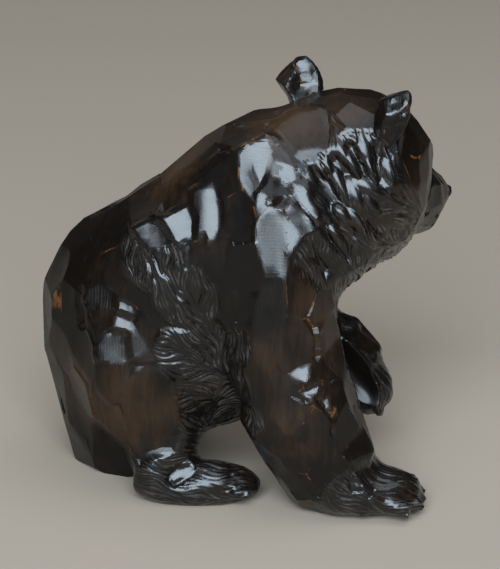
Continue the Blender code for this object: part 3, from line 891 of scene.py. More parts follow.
class Flats:
    """The broad cuts: where each lies, the way it faces, the way it was cut and how wide it is.

    The hand-hewn flats come first; the other flats are laid out between them.
    """

    def __init__(self, points, normals, edges, lie, hewn, sites):
        chance = np.random.default_rng(SEED)
        hand = len(HAND_FLATS)
        owner, _ = hand_flats(points, normals)
        count = hand + len(sites)
        self.hand = hand
        self.place = np.zeros((count, 3))
        self.facing = np.tile(GLINT_WAY, (count, 1))
        self.way = np.zeros((count, 3))
        self.bow = np.full(count, FLAT_HOLLOW)
        self.width = np.full(count, 1.0)
        self.ripple = np.clip(chance.normal(*RIPPLE_CHANCE, count), RIPPLE_LEAST, 1)
        self.shade = chance.random(count)
        self.place[hand:] = points[sites]
        self.facing[hand:] = normals[sites]
        self.spacing = flat_spacing(self.place)
        self.lay_hand_flats(points, normals, owner)
        self.offset = self.sunk(points, normals, owner, edges)
        moved = points - normals * self.offset[:, None]
        rest = hewn & (owner < 0)
        for _ in range(LAYOUT_ROUNDS):
            self.centre(moved[rest], normals[rest])
        self.facing[hand:] += chance.normal(0, FLAT_TILT, (len(sites), 3))
        self.facing = unit(self.facing)
        for number in range(hand, count):
            if from_glint(self.facing[number]) < SHY_ANGLE and self.place[number][1] < NEAR_SIDE:
                self.facing[number] = turned(self.facing[number], -SHY_TURN)
        self.way[hand:] = lie[sites] + chance.normal(0, WAY_TILT, (len(sites), 3))
        self.frame_cuts()
        owner[rest] = self.nearest(moved[rest], normals[rest], 1)[0][:, 0]
        self.join(points, normals, owner, edges)
        owner, _ = hand_flats(points, normals)
        self.offset = self.sunk(points, normals, owner, edges)

    def centre(self, points, normals):
        """Moves each laid-out flat to the middle, and the mean facing, of the points it owns."""
        count = len(self.place)
        own = self.nearest(points, normals, 1)[0][:, 0]
        size = np.bincount(own, minlength=count)
        for values, means in ((points, self.place), (normals, self.facing)):
            for axis in range(3):
                total = np.bincount(own, values[:, axis], count)
                mean = total / np.maximum(size, 1)
                means[:, axis] = np.where(size > 0, mean, means[:, axis])
        self.facing = unit(self.facing)

    def frame_cuts(self):
        """Lays each cut's run in its own plane, and finds the way across it."""
        self.way = unit(self.way - self.facing * dot(self.way, self.facing)[:, None])
        self.side = np.cross(self.facing, self.way)

    def lay_hand_flats(self, points, normals, owner):
        """Lays each hand-hewn flat as a plane through its stretch of skin, turned to its facing."""
        for number, (_, gap, slant, ripple, bow) in enumerate(HAND_FLATS):
            own = np.flatnonzero(owner == number)
            facing = unit(normals[own].mean(axis=0))
            turn = max(-MOST_TURN, min(MOST_TURN, from_glint(facing) - gap))
            facing = turned(facing, turn)
            place = points[own].mean(axis=0)
            self.place[number], self.facing[number] = place, facing
            slant = math.radians(slant)
            marks = np.array((math.cos(slant), 0, 0)) - CAMERA_UP * math.sin(slant)
            self.way[number] = np.cross(facing, marks)
            self.width[number] = np.abs((points[own] - place) @ marks).max()
            self.bow[number] = bow * HAND_BOW
            self.ripple[number] = ripple

    def sunk(self, points, normals, owner, edges):
        """How deep the skin sinks to meet the hand-hewn flats, fading out around them."""
        fixed = owner >= 0
        offset = np.zeros(len(points))
        offset[fixed] = self.height(points[fixed], normals[fixed], owner[fixed], False)
        count = neighbour_count(edges, len(points))
        spread = offset.copy()
        for _ in range(OFFSET_ROUNDS):
            total = neighbour_sum(spread, edges)
            spread = np.where(fixed, offset, total / count * OFFSET_FADE)
        return spread

    def join(self, points, normals, owner, edges):
        """Shifts and leans the flats a little, all at once, so that neighbours meet."""
        first, second = owner[edges[:, 0]], owner[edges[:, 1]]
        meets = (first != second) & (first >= 0) & (second >= 0)
        meets &= dot(self.facing[first], self.facing[second]) > MEETING_FACING
        middle = (points[edges[meets, 0]] + points[edges[meets, 1]]) / 2
        facing = unit(normals[edges[meets, 0]] + normals[edges[meets, 1]])
        first, second = first[meets], second[meets]
        size = 3 * len(self.place)
        matrix, wanted = np.zeros((size, size)), np.zeros(size)

        def terms(at, faces, flat):
            offset = at - self.place[flat]
            lean = np.maximum(dot(faces, self.facing[flat]), LEAST_LEAN)
            along = dot(offset, self.way[flat])
            across = dot(offset, self.side[flat])
            share = np.stack((np.ones(len(at)), along, across), axis=1) / lean[:, None]
            return share, dot(offset, self.facing[flat]) / lean

        def columns_of(flat):
            return 3 * flat[:, None] + np.arange(3)

        def add(columns, shares, goal, weight):
            for row in range(columns.shape[1]):
                np.add.at(wanted, columns[:, row], weight * shares[:, row] * goal)
                for column in range(columns.shape[1]):
                    place = (columns[:, row], columns[:, column])
                    np.add.at(matrix, place, weight * shares[:, row] * shares[:, column])

        own_share, own_height = terms(middle, facing, first)
        other_share, other_height = terms(middle, facing, second)
        columns = np.concatenate((columns_of(first), columns_of(second)), axis=1)
        shares = np.concatenate((own_share, -other_share), axis=1)
        add(columns, shares, other_height - own_height, 1.0)
        on_flat = np.flatnonzero(owner >= 0)
        share, height = terms(points[on_flat], normals[on_flat], owner[on_flat])
        add(columns_of(owner[on_flat]), share, self.offset[on_flat] - height, SKIN_HOLD)
        hold = np.where(np.arange(len(self.place)) < self.hand, HAND_HOLD, FREE_HOLD)
        holds = np.stack((np.full_like(hold, SHIFT_HOLD), hold, hold), axis=1)
        matrix[np.diag_indices(size)] += holds.ravel()
        change = np.linalg.solve(matrix, wanted).reshape(-1, 3)
        self.place -= self.facing * change[:, :1]
        self.facing = unit(self.facing + self.way * change[:, 1:2] + self.side * change[:, 2:])
        self.frame_cuts()

    def nearest(self, points, normals, count):
        """The laid-out flats that each point lies nearest to, in place and facing, and how near."""
        flats = np.empty((len(points), count), np.int32)
        gaps = np.empty((len(points), count))
        place, facing = self.place[self.hand:], self.facing[self.hand:]
        spacing = self.spacing[self.hand:]
        squares = squared(place)
        for low in range(0, len(points), AT_ONCE):
            some = slice(low, low + AT_ONCE)
            gap = squared(points[some])[:, None] + squares - 2 * points[some] @ place.T
            gap += TURN_WEIGHT * spacing ** 2 * (1 - normals[some] @ facing.T)
            near = np.argpartition(gap, count, axis=1)[:, :count]
            order = np.argsort(np.take_along_axis(gap, near, axis=1), axis=1)
            near = np.take_along_axis(near, order, axis=1)
            flats[some] = near + self.hand
            gaps[some] = np.take_along_axis(gap, near, axis=1)
        return flats, gaps

    def border(self, near, gaps):
        """How far each point is from the border between its own flat and the next."""
        first, second = near[:, 0], near[:, 1]
        apart = squared(self.place[first] - self.place[second])
        turn = 1 - dot(self.facing[first], self.facing[second])
        apart += TURN_WEIGHT * self.spacing[first] ** 2 * turn
        return (gaps[:, 1] - gaps[:, 0]) / (2 * np.sqrt(np.maximum(apart, TINY)))

    def height(self, points, normals, flat, bowed=True):
        """How deep the cut lies under each point, with the slight hollow that a gouge leaves."""
        offset = points - self.place[flat]
        lean = np.maximum(dot(normals, self.facing[flat]), LEAST_LEAN)
        height = dot(offset, self.facing[flat]) / lean
        if not bowed:
            return height
        width = np.where(flat < self.hand, self.width[flat], BOW_WIDTH * self.spacing[flat])
        across = dot(offset, self.side[flat]) / width
        return height + self.bow[flat] * (1 - np.clip(across, -BOW_END, BOW_END) ** 2)

    def depth(self, points, normals, base):
        """Depth to take off each point so that every site becomes a broad cut."""
        near, gaps = self.nearest(points - normals * base[:, None], normals, FLATS_FELT)
        first = near[:, 0]
        border = self.border(near, gaps)
        depth = self.height(points, normals, first)
        for rank in range(1, near.shape[1]):
            other = near[:, rank]
            apart = self.place[other] - self.place[first]
            bulge = dot(apart, self.facing[other] - self.facing[first])
            bulge = clamp(bulge / squared(apart) / FULL_BULGE)
            alike = dot(self.facing[other], normals) > ALIKE_FACING
            next_depth = self.height(points, normals, other)
            rise = np.clip(next_depth - depth, 0, FLAT_REACH * self.spacing[first])
            eased = 0
            if rank == 1:
                share = 0.5 * clamp(1 - border / CONCAVE_BAND) ** 2
                step = np.clip(next_depth - depth, -CONCAVE_STEP, CONCAVE_STEP)
                eased = step * share * (1 - bulge) * alike
            depth = depth + rise * bulge * alike + eased
        depth = base + np.clip(depth - base, -FLAT_RISE, FLAT_SINK)
        return self.with_hand_flats(points, normals, depth, first)

    def with_hand_flats(self, points, normals, depth, nearest):
        """Lays the hand-hewn flats into the depth; every flat ends where it meets the next."""
        best, second = np.full(len(points), -ENDLESS), np.full(len(points), -ENDLESS)
        own, other = nearest.copy(), nearest.copy()
        for number, close, gap in hand_rims(points, normals):
            first = gap > best[close]
            spots = close[first]
            second[spots], other[spots] = best[spots], own[spots]
            best[spots], own[spots] = gap[first], number
            next_one = ~first & (gap > second[close])
            second[close[next_one]], other[close[next_one]] = gap[next_one], number
        near = np.flatnonzero(best > -HAND_RIM)
        inside, hand = best[near] > 0, own[near]
        paired = inside & (second[near] > -best[near] - PAIR_GAP)
        partner = np.where(paired, other[near], np.where(inside, nearest[near], hand))
        own = np.where(inside, hand, nearest[near])

        def height(flat):
            laid = self.height(points[near], normals[near], np.minimum(flat, self.hand - 1))
            return np.where(flat < self.hand, laid, depth[near])

        here, there = height(own), height(partner)
        gap = np.where(paired, (best[near] - second[near]) / 2, np.abs(best[near]))
        share = 0.5 * clamp(1 - gap / HAND_RIM)
        depth = depth.copy()
        depth[near] = here + share * (there - here)
        return depth


class Leaves:
    """Overlapping leaves of fur: where each lies, the way it runs and how large it is."""

    def __init__(self, points, normals, lie, furry):
        chance = np.random.default_rng(SEED + 2)
        spots, _ = seen(points)
        facing = normals @ CAMERA_WAY > LEAF_FACING
        rows = []
        free = furry.copy()
        for tip, root, width in HAND_LEAVES:
            middle = (np.array(tip) + np.array(root)) / 2
            index = np.where(facing, squared(spots - middle), ENDLESS).argmin()
            run = (np.array(root, float) - tip) / PICTURE_SCALE
            way = np.array((run[0], 0, 0)) - CAMERA_UP * run[1]
            normal = normals[index]
            lean = max(HAND_LEAN, normal @ CAMERA_WAY)
            way = way - CAMERA_WAY * (way @ normal) / lean
            length = np.linalg.norm(way) / 2
            width = width / PICTURE_SCALE / 2
            rows.append((points[index], normal, way / (2 * length), length, width, 1.0))
            free &= squared(points - points[index]) > HAND_ROOM ** 2
        even = np.full(len(points), LEAF_SPACING * 0.8)
        for index in scatter(points, lie, free, even, LEAF_STRETCH, SEED + 1):
            normal = normals[index]
            way = lie[index] + chance.normal(0, LEAF_TILT, 3)
            way = unit(way - normal * (way @ normal))
            length = LEAF_SPACING * chance.uniform(*LEAF_LENGTHS)
            width = LEAF_SPACING * chance.uniform(*LEAF_WIDTHS)
            rows.append((points[index], normal, way, length, width, chance.uniform(*LEAF_TOPS)))
        self.places, self.facings, self.ways, self.lengths, self.widths, self.tops = (
            np.array(column) for column in zip(*rows))
        self.sides = np.cross(self.facings, self.ways)

    def depth(self, points, normals):
        """Depth to take off between the leaves, which stand up rounded like shingles."""
        top = np.zeros(len(points))
        for number, place in enumerate(self.places):
            length, width = self.lengths[number], self.widths[number]
            offset = points - place
            close = np.flatnonzero(squared(offset) < (length * LEAF_END) ** 2)
            offset = offset[close]
            along = offset @ self.ways[number] / length
            taper = 1 - LEAF_TAPER * np.clip(along, -1, 1)
            across = offset @ self.sides[number] / (width * taper)
            out = offset @ self.facings[number] / LEAF_SPACING
            dome = clamp(1 - along ** 2 - across ** 2 - 0.2 * out ** 2) ** LEAF_ROUNDING
            alike = clamp((normals[close] @ self.facings[number] - 0.2) / 0.3)
            top[close] = np.maximum(top[close], dome * alike * self.tops[number])
        _, rim = hand_flats(points, normals)
        deep = LEAF_SHALLOW + (LEAF_DEPTH - LEAF_SHALLOW) * in_balls(points, LEAFY_PLACES, 2.0)
        inner = clamp(2 * in_balls(points, FUR_PLACES, LEAF_FADE) - 1)
        inner *= 1 - 0.6 * in_balls(points, SHALLOW_PLACES, 2.0)
        return deep * (1 - top) * inner * clamp(rim / LEAF_FADE)


class Strokes:
    """The cuts of a fine gouge that follow the lie of the fur."""

    def __init__(self, sites, normals):
        chance = np.random.default_rng(SEED + 3)
        count = len(sites)
        tilt = chance.normal(0, STROKE_TILT, count)
        bend = chance.normal(0, STROKE_BEND, count)
        length = chance.uniform(*STROKE_LENGTHS, count)
        full = chance.uniform(*STROKE_DEPTHS, count)
        full += DEEPER * (chance.random(count) < DEEPER_SHARE)
        places, ways, facings, depths = [], [], [], []
        for sign in (-1, 1):
            here, facing = sites.copy(), normals.copy()
            for step in range(STROKE_STEPS + 1):
                way = fur_lie(here, facing)
                angle = (tilt + bend * step * sign)[:, None]
                way = way * np.cos(angle) + np.cross(facing, way) * np.sin(angle)
                share = step / STROKE_STEPS / length
                kept = share < 1
                places.append(here[kept].copy())
                ways.append(way[kept])
                facings.append(facing[kept])
                depths.append((full * (1 - share ** 2))[kept])
                here = here + sign * STROKE_STEP * way
                facing, gap = facing_at(here)
                here -= facing * gap[:, None]
        self.places = np.concatenate(places)
        self.ways = np.concatenate(ways)
        self.facings = np.concatenate(facings)
        self.sides = np.cross(self.facings, self.ways)
        self.depths = np.concatenate(depths)
        self.tree = tree_of(self.places)

    def depth(self, points, normals, asked):
        """Depth of the deepest stroke at each of the points that are asked for."""
        pairs = []
        for number in np.flatnonzero(asked):
            for _, index, _ in self.tree.find_n(points[number], STROKES_FELT):
                pairs.append((number, index))
        depth = np.zeros(len(points))
        if pairs:
            number, index = np.array(pairs).T
            offset = points[number] - self.places[index]
            width = np.where(self.places[index, 1] > FAR_SIDE, FAR_WIDTH, STROKE_WIDTH)
            across = dot(offset, self.sides[index]) / width
            along = np.abs(dot(offset, self.ways[index])) / STROKE_STEP
            alike = dot(normals[number], self.facings[index]) > STROKE_FACING
            cut = clamp(1 - across ** 2) * clamp(STROKE_END - along) * alike
            np.maximum.at(depth, number, cut * self.depths[index])
        return depth


def ease(depth, points, edges, steepest, rounds):
    """Turns jumps in depth between neighbours into slopes, as a chisel leaves them."""
    first, second = edges[:, 0], edges[:, 1]
    limit = steepest[first] * np.linalg.norm(points[first] - points[second], axis=1)
    count = neighbour_count(edges, len(points))
    for _ in range(rounds):
        jump = depth[first] - depth[second]
        excess = np.sign(jump) * np.maximum(np.abs(jump) - limit, 0) / 2
        change = np.bincount(second, excess, len(points)) - np.bincount(first, excess, len(points))
        depth = depth + change / count * 2
    return depth


def worn(depth, edges, share, rounds):
    """Rounds the arrises a little, as handling and wax do, where share is above nought."""
    count = neighbour_count(edges, len(depth))
    for _ in range(rounds):
        depth = depth + share * (neighbour_sum(depth, edges) / count - depth)
    return depth


def facing_at(points):
    """The way the smooth skin faces at each point, and how far above the skin the point is."""
    gap = figure_distance(points)
    return unit(slope(points, gap)), gap


class Carving:
    """Everything that is cut into the smooth skin, laid out once and read at any point."""

    def __init__(self, layout, edges):
        normals, _ = facing_at(layout)
        lie = fur_lie(layout, normals)
        fur = self.fur(layout, normals)
        above = layout[:, 2] > FLOOR_ROOM
        owner, rim = hand_flats(layout, normals)
        hewn = fur < HEWN_SHARE
        free = hewn & above & (owner < 0) & (rim > HAND_CLEAR)
        sites = scatter(layout, lie, free, flat_spacing(layout), FLAT_STRETCH, SEED)
        self.flats = Flats(layout, normals, edges, lie, hewn, sites)
        self.leaves = Leaves(layout, normals, lie, (fur > 0.5) & above)
        pitch = np.where(layout[:, 1] > FAR_SIDE, FAR_PITCH, STROKE_PITCH)
        cut = (fur > STROKED_SHARE) & above
        strokes = scatter(layout, lie, cut, pitch, STROKE_STRETCH, SEED + 4)
        self.strokes = Strokes(layout[strokes], normals[strokes])
        self.tree = tree_of(layout)

    def fur(self, points, normals):
        """One where the fur is cut in strokes, nought where the wood is hewn in flats."""
        owner, rim = hand_flats(points, normals)
        share = in_balls(points, FUR_PLACES) * clamp(rim / 0.5)
        return np.where(owner >= 0, 0, share)

    def base(self, points):
        """How deep the skin has sunk to meet the hand-hewn flats."""
        offset = self.flats.offset
        depth = np.empty(len(points))
        for number, point in enumerate(points):
            near = self.tree.find_n(point, 4)
            weight = np.array([1 / (gap + 0.05) ** 2 for _, _, gap in near])
            depth[number] = weight @ offset[[index for _, index, _ in near]] / weight.sum()
        return depth

    def stroke_depth(self, points, normals, fur):
        """Depth of the strokes, which are shallower on the leaves, the paws and the left side."""
        soft = 1 - LEAFY_EASE * in_balls(points, LEAFY_PLACES)
        soft -= SHALLOW_EASE * in_balls(points, SHALLOW_PLACES, 2.0)
        soft *= np.where(points[:, 1] > FAR_SIDE, FAR_DEPTH, 1)
        return self.strokes.depth(points, normals, fur > 0.02) * STROKE_DEPTH * soft

    def depth(self, points, normals):
        """Depth to take off each point in all, and how much of a fur place it is."""
        fur = self.fur(points, normals)
        base = self.base(points)
        hewn = self.flats.depth(points, normals, base)
        cut = base + self.leaves.depth(points, normals) + self.stroke_depth(points, normals, fur)
        kept = 1 - spared(points)
        return (hewn * (1 - fur) + cut * fur) * kept, fur * kept


def placed(name, data):
    """A new object in the scene."""
    result = bpy.data.objects.new(name, data)
    bpy.context.collection.objects.link(result)
    return result


def evaluated(holder):
    """The mesh that an object's modifiers make; the object itself is taken out."""
    graph = bpy.context.evaluated_depsgraph_get()
    result = bpy.data.meshes.new_from_object(holder.evaluated_get(graph))
    bpy.data.objects.remove(holder)
    return result


def remeshed(mesh, grain):
    """A copy of a mesh, rebuilt on an even grid."""
    holder = placed("blank", mesh)
    grid = holder.modifiers.new("Even grid", "REMESH")
    grid.mode = "VOXEL"
    grid.voxel_size = grain
    return evaluated(holder)


def remeshed_skin():
    """The smooth skin twice: the mesh that the cuts are laid out on, and the finest one."""
    blank = bmesh.new()
    for part in FIGURE:
        part.add_blank(blank)
    mesh = bpy.data.meshes.new("blank")
    blank.to_mesh(mesh)
    blank.free()
    for grain, rounds in ((ROUGH_GRAIN, 5), (LAYOUT_GRAIN, 2)):
        mesh = remeshed(mesh, grain)
        write_points(mesh, settle(read_points(mesh), rounds))
    return read_points(mesh), read_edges(mesh), remeshed(mesh, FINE_GRAIN)


def thinned(mesh, count, finest=None):
    """A copy of a mesh with fewer triangles, which keeps the finest points if they are given."""
    holder = placed("dense", mesh)
    triangles = len(mesh.loops) - 2 * len(mesh.polygons)
    holder.modifiers.new("Triangles", "TRIANGULATE")
    fewer = holder.modifiers.new("Fewer", "DECIMATE")
    fewer.ratio = min(1, count / triangles)
    if finest is not None:
        group = holder.vertex_groups.new(name="coarse")
        group.add(np.flatnonzero(~finest).tolist(), 1.0, "REPLACE")
        fewer.vertex_group = group.name
    return evaluated(holder)


def in_frame(points):
    """From the grid to metres in the frame."""
    unturned = points @ np.array(Matrix.Rotation(-BODY_TURN, 3, "Z"))
    return (unturned - BASE) * UNIT


def keep(mesh, domain, values_of):
    """Keeps values on a mesh's points or faces, where its wood reads them."""
    for name, values in values_of.items():
        layer = mesh.attributes.new(name, "FLOAT", domain)
        layer.data.foreach_set("value", values.astype(np.float32))


def crease(mesh, rounded):
    """Shades a mesh smooth, but for the edges that turn sharply outside its rounded faces."""
    mesh.polygons.foreach_set("use_smooth", np.ones(len(rounded), bool))
    cut = bmesh.new()
    cut.from_mesh(mesh)
    for edge in cut.edges:
        soft = all(rounded[face.index] for face in edge.link_faces)
        edge.smooth = soft or edge.calc_face_angle(math.pi) < CREASE
    cut.to_mesh(mesh)
    cut.free()


def mark_cuts(mesh, carving):
    """Keeps on the mesh what its wood reads: fur, valleys, borders of flats and the tool's run."""
    flats, strokes = carving.flats, carving.strokes
    points = read_points(mesh)
    normals, gap = facing_at(points)
    skin = points - normals * gap[:, None]
    base = carving.base(skin)
    smooth = spared(skin)
    whole_fur = carving.fur(skin, normals)
    fur = whole_fur * (1 - smooth)
    owner, rim = hand_flats(skin, normals)
    near, gaps = flats.nearest(skin - normals * base[:, None], normals, 2)
    border = np.where(owner < 0, flats.border(near, gaps), ENDLESS)
    border = np.minimum(border, rim) * UNIT * MILLIMETRES + SPARED_BORDER * smooth
    eye = np.zeros(len(skin))
    for part in EYES:
        eye = np.maximum(eye, clamp(1 - np.abs(part.distance(skin)) / EYE_RIM))
    keep(mesh, "POINT", {
        "fur": fur,
        "border": border,
        "valley": carving.stroke_depth(skin, normals, whole_fur) / STROKE_DEPTH,
        "thin_stain": in_balls(skin, THIN_PLACES, THIN_FADE),
        "eye": eye,
        "leafy": in_balls(skin, LEAFY_PLACES),
    })
    corners = np.empty(len(mesh.loops), np.int32)
    mesh.loops.foreach_get("vertex_index", corners)
    corners = corners.reshape(-1, 3)
    middles, facings, sunk = (values[corners].mean(axis=1) for values in (skin, normals, base))
    own = flats.nearest(middles - facings * sunk[:, None], facings, 1)[0][:, 0]
    owner, _ = hand_flats(middles, facings)
    own = np.where(owner < 0, own, owner)
    place, way, side = (values[own] for values in (flats.place, flats.way, flats.side))
    furry = fur[corners].mean(axis=1) > 0.4
    for number in np.flatnonzero(furry):
        stroke = strokes.tree.find(middles[number])[1]
        place[number] = strokes.places[stroke]
        way[number], side[number] = strokes.ways[stroke], strokes.sides[stroke]
    offset = points[corners] - place[:, None, :]
    run = np.stack([(offset * axis[:, None, :]).sum(axis=2) * UNIT * MILLIMETRES
                    for axis in (way, side)], axis=2)
    tool = mesh.uv_layers.new(name="tool_run")
    tool.data.foreach_set("uv", run.astype(np.float32).ravel())
    burnished = np.full(len(flats.place), FLAT_WAX)
    burnished[:flats.hand] = [1.0 if cut[1] < BRIGHT_ANGLE else FLAT_WAX for cut in HAND_FLATS]
    wax = np.where(furry, FUR_WAX, burnished[own])
    wax *= 1 - DULL_SHARE * in_balls(middles, DULL_PLACES, DULL_FADE)
    keep(mesh, "FACE", {"shade": flats.shade[own], "ripple": flats.ripple[own], "wax": wax})
    crease(mesh, furry | (smooth[corners].mean(axis=1) > 0.5))


def carved_bear(wood):
    """The bear's own mesh: the fine skin, cut, thinned where it is even and put in the frame."""
    layout, edges, mesh = remeshed_skin()
    carving = Carving(layout, edges)
    points = read_points(mesh)
    normals, gap = facing_at(points)
    points -= normals * gap[:, None]
    depth, fur = carving.depth(points, normals)
    edges = read_edges(mesh)
    depth = ease(depth, points, edges, FLAT_STEEP + FUR_STEEP * fur, EASE_ROUNDS)
    even = clamp(1 - 2 * fur)
    _, rim = hand_flats(points, normals)
    near_rim = clamp(WORN_RIM - rim)
    soft = in_balls(points, SOFT_PLACES, SOFT_FADE)
    depth = worn(depth, edges, 0.5 * even, 1)
    depth = worn(depth, edges, 0.8 * even * near_rim, WORN_ROUNDS)
    depth = worn(depth, edges, 0.7 * even * soft, WORN_ROUNDS)
    points -= normals * depth[:, None]
    points[:, 2] = np.maximum(points[:, 2], 0)
    write_points(mesh, points)
    mesh = thinned(mesh, FIRST_TRIANGLES)
    points = read_points(mesh)
    normals, gap = facing_at(points)
    furry = carving.fur(points - normals * gap[:, None], normals) > 0.3
    near_fur = furry & (points[:, 1] < FAR_SIDE)
    from_eyes = np.min([np.abs(part.distance(points)) for part in EYES], axis=0)
    mesh = thinned(mesh, TRIANGLES, near_fur | (from_eyes < EYE_ROOM))
    mark_cuts(mesh, carving)
    write_points(mesh, in_frame(read_points(mesh)))
    mesh.materials.append(wood)
    return placed("bear_carved", mesh)


class Wire:
    """A value on its way through a material, with the nodes that can be put behind it."""

    def __init__(self, tree, socket):
        self.tree = tree
        self.socket = socket

    def to(self, target):
        self.tree.links.new(self.socket, target)

    def node(self, kind, socket, output, **settings):
        """The output of a new node that reads this value in one of its sockets."""
        node = self.tree.nodes.new(kind)
        for name, value in settings.items():
            node.inputs[name].default_value = value
        self.to(node.inputs[socket])
        return Wire(self.tree, node.outputs[output])

    def math(self, operation, *values, clamp=False):
        """The outcome of a sum on some values, each a wire or a number."""
        node = self.tree.nodes.new("ShaderNodeMath")
        node.operation = operation
        node.use_clamp = clamp
        for socket, value in zip(node.inputs, values):
            if isinstance(value, Wire):
                value.to(socket)
            else:
                socket.default_value = value
        return Wire(self.tree, node.outputs[0])

    def __add__(self, other):
        return self.math("ADD", self, other)

    def __mul__(self, other):
        return self.math("MULTIPLY", self, other)

    def __pow__(self, power):
        return self.math("POWER", self, power)

    def less(self, other, clamp=False):
        return self.math("SUBTRACT", self, other, clamp=clamp)

    def rest(self):
        """What this value leaves of one."""
        return self.math("SUBTRACT", 1.0, self, clamp=True)

    def wave(self, kind, length):
        """A sine or cosine that comes back after a length."""
        return self.math(kind, self * (2 * math.pi / length), 0.0)

    def spread(self, low, high, to_low=0.0, to_high=1.0):
        """This value, eased from one range to another."""
        settings = {"From Min": low, "From Max": high, "To Min": to_low, "To Max": to_high}
        result = self.node("ShaderNodeMapRange", "Value", "Result", **settings)
        result.socket.node.interpolation_type = "SMOOTHSTEP"
        return result

    def stretched(self, sizes):
        return self.node("ShaderNodeMapping", "Vector", "Vector", Scale=sizes)

    def noise(self, scale, detail, rough=0.55):
        return self.node("ShaderNodeTexNoise", "Vector", "Fac",
                         Scale=scale, Detail=detail, Roughness=rough)

    def patches(self, noise, *ranges):
        """A noise at this place, of which a range is spread to another."""
        return self.noise(*noise).spread(*ranges)

    def mixed(self, first, second):
        """From one colour to another, as this value goes from nought to one."""
        node = self.tree.nodes.new("ShaderNodeMix")
        node.data_type = "RGBA"
        for name, value in (("A", first), ("B", second)):
            socket = [s for s in node.inputs if s.name == name and s.type == "RGBA"][0]
            if isinstance(value, Wire):
                value.to(socket)
            else:
                socket.default_value = (*value, 1)
        self.to(node.inputs["Factor"])
        return Wire(self.tree, [s for s in node.outputs if s.type == "RGBA"][0])


def attribute(tree, name):
    node = tree.nodes.new("ShaderNodeAttribute")
    node.attribute_name = name
    return Wire(tree, node.outputs["Fac"])


def waxed_wood():
    """Dark stained wood under wax: brown where the stain is thin, bare along worn edges, with
    painted shade in the fur's valleys and a painted highlight on its crests.
    """
    material = bpy.data.materials.new("dark_waxed_wood")
    material.use_nodes = True
    tree = material.node_tree
    wood = tree.nodes["Principled BSDF"].inputs
    place = Wire(tree, tree.nodes.new("ShaderNodeTexCoord").outputs["Object"])
    names = ("fur", "border", "valley", "shade", "thin_stain", "eye", "leafy", "ripple", "wax")
    fur, border, valley, shade, thin_stain, eye, leafy, ripple, wax = (
        attribute(tree, name) for name in names)
    run = tree.nodes.new("ShaderNodeUVMap")
    run.uv_map = "tool_run"
    split = tree.nodes.new("ShaderNodeSeparateXYZ")
    Wire(tree, run.outputs["UV"]).to(split.inputs["Vector"])
    along, across = (Wire(tree, split.outputs[axis]) for axis in "XY")
    hewn = fur.rest()
    strand = across.wave("COSINE", STRAND_APART)

    streaks = place.stretched(STREAK_SIZES).noise(*STREAKS)
    thin = place.noise(*STAIN_PATCHES) * 0.6 + streaks * 0.4 + thin_stain * THIN_STAIN_SHARE
    colour = thin.spread(*THIN_RANGE).mixed(DARK_STAIN, THIN_STAIN)
    colour = shade.spread(0.0, 1.0, 0.0, SHADE_SHARE).mixed(colour, DEEP_STAIN)
    edge = place.patches(EDGE_PATCHES, *EDGE_WIDTHS).less(border).spread(-EDGE_BLUR, EDGE_BLUR)
    edge = edge * place.patches(CHIPS, *CHIP_RANGE) * hewn
    colour = edge.mixed(colour, BARE_WOOD)
    # Painted shade: the valleys of the fur are darkened in the colour itself, deeper cuts darker
    colour = (valley * VALLEY_SHARE).mixed(colour, VALLEY_SHADE_PAINT)
    # Painted highlight: the crests of the fur strands are lightened in the colour, in specks and
    # patches, where gloss would catch the light
    crest = strand.spread(1.0, -1.0) ** CREST_POWER
    crest = crest * place.patches(CREST_SPECKS, *SPECK_RANGE)
    crest = crest * place.patches(CREST_PATCHES, *CREST_RANGE)
    colour = (crest * fur).mixed(colour, CREST_HIGHLIGHT_PAINT)
    eye.mixed(colour, EYE_BLACK).to(wood["Base Color"])

    gloss = place.patches(GLOSS_PATCHES, *GLOSS_RANGE)
    gloss.less(eye * EYE_GLOSS, clamp=True).to(wood["Roughness"])
    wood["Specular IOR Level"].default_value = 0.1
    wax.to(wood["Coat Weight"])
    wood["Coat Roughness"].default_value = 0.21
    wood["Coat IOR"].default_value = 1.45

    phase = along + across * across * MARK_BOW + place.noise(*MARK_DRIFT) * DRIFT_LENGTH
    marks = phase.wave("SINE", MARKS_APART) + phase.wave("SINE", CLOSE_MARKS_APART) * 0.5
    marks = marks * place.patches(MARK_PATCHES, *MARK_RANGE) * (ripple * hewn)
    strand = strand * -1.8 + across.wave("COSINE", FINE_STRAND_APART) * -0.6
    strand = strand * (fur * leafy.spread(0.0, 1.0, 1.0, LEAFY_STRAND))
    grain = place.stretched(GRAIN_SIZES).noise(*GRAIN)
    height = (marks + strand) * 0.9 + grain * 0.3
    bump = height.node("ShaderNodeBump", "Height", "Normal", Strength=1.0, Distance=BUMP_DEPTH)
    bump.to(wood["Normal"])
    return material


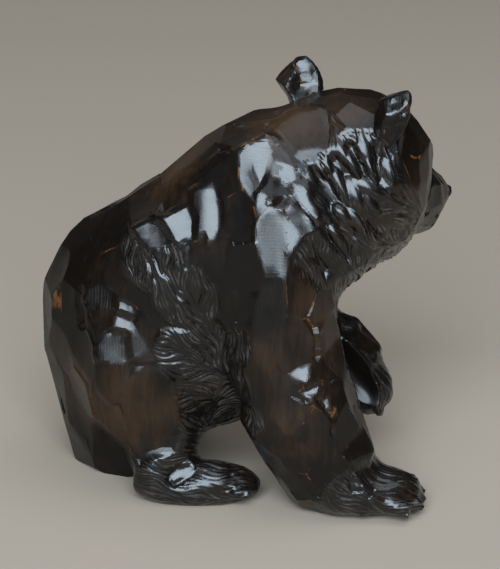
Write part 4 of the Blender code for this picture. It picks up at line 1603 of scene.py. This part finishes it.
def pale_floor():
    """The pale floor that the bear sits on."""
    grid = bmesh.new()
    bmesh.ops.create_grid(grid, x_segments=1, y_segments=1, size=FLOOR_SIZE)
    mesh = bpy.data.meshes.new("floor")
    grid.to_mesh(mesh)
    grid.free()
    material = bpy.data.materials.new("pale_floor")
    material.use_nodes = True
    inputs = material.node_tree.nodes["Principled BSDF"].inputs
    inputs["Base Color"].default_value = FLOOR_COLOUR
    inputs["Roughness"].default_value = FLOOR_ROUGHNESS
    mesh.materials.append(material)
    return placed("floor", mesh)


def lamp(name, aim, way, distance, size, radiance, colour):
    """A soft rectangular lamp that shines at the aim from a distance."""
    light = bpy.data.lights.new(name, "AREA")
    light.shape = "RECTANGLE"
    light.size, light.size_y = size
    light.energy = radiance * size[0] * size[1] * math.pi
    light.color = colour
    holder = placed(name, light)
    way = Matrix.Rotation(BODY_TURN, 3, "Z") @ Vector(way).normalized()
    holder.location = aim + way * distance
    holder.rotation_euler = way.to_track_quat("Z", "Y").to_euler()


def stage_and_light():
    """The floor, the room, the camera and three soft lamps, of which the window is strongest."""
    scene = bpy.context.scene
    scene.view_settings.view_transform = "Standard"
    ground = pale_floor()
    ground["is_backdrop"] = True

    world = bpy.data.worlds.new("room")
    scene.world = world
    world.use_nodes = True
    air = world.node_tree.nodes["Background"].inputs
    air["Color"].default_value = ROOM_COLOUR
    air["Strength"].default_value = ROOM_STRENGTH

    aim = Vector(in_frame(AIM[None, :])[0].tolist())
    view = Matrix.Rotation(BODY_TURN, 3, "Z") @ Vector(CAMERA_WAY)
    lens = bpy.data.cameras.new("camera")
    lens.lens = lens.sensor_width * VIEW_REACH / VIEW_HEIGHT
    lens.clip_end = CAMERA_SIGHT
    camera = placed("camera", lens)
    camera.location = aim + view * CAMERA_DISTANCE * UNIT
    camera.rotation_euler = view.to_track_quat("Z", "Y").to_euler()
    scene.camera = camera

    glint = Vector(unit(GLINT_WAY))
    window_way = 2 * glint.dot(Vector(CAMERA_WAY)) * glint - Vector(CAMERA_WAY)
    lamp("window", aim, window_way, *WINDOW)
    lamp("ceiling", aim, *CEILING)
    lamp("room_fill", aim, *ROOM_FILL)


bear = carved_bear(waxed_wood())
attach(bear, "root")
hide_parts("bear")
stage_and_light()

[[list(corner) for corner in box] for box in (CAD_BOX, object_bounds())]
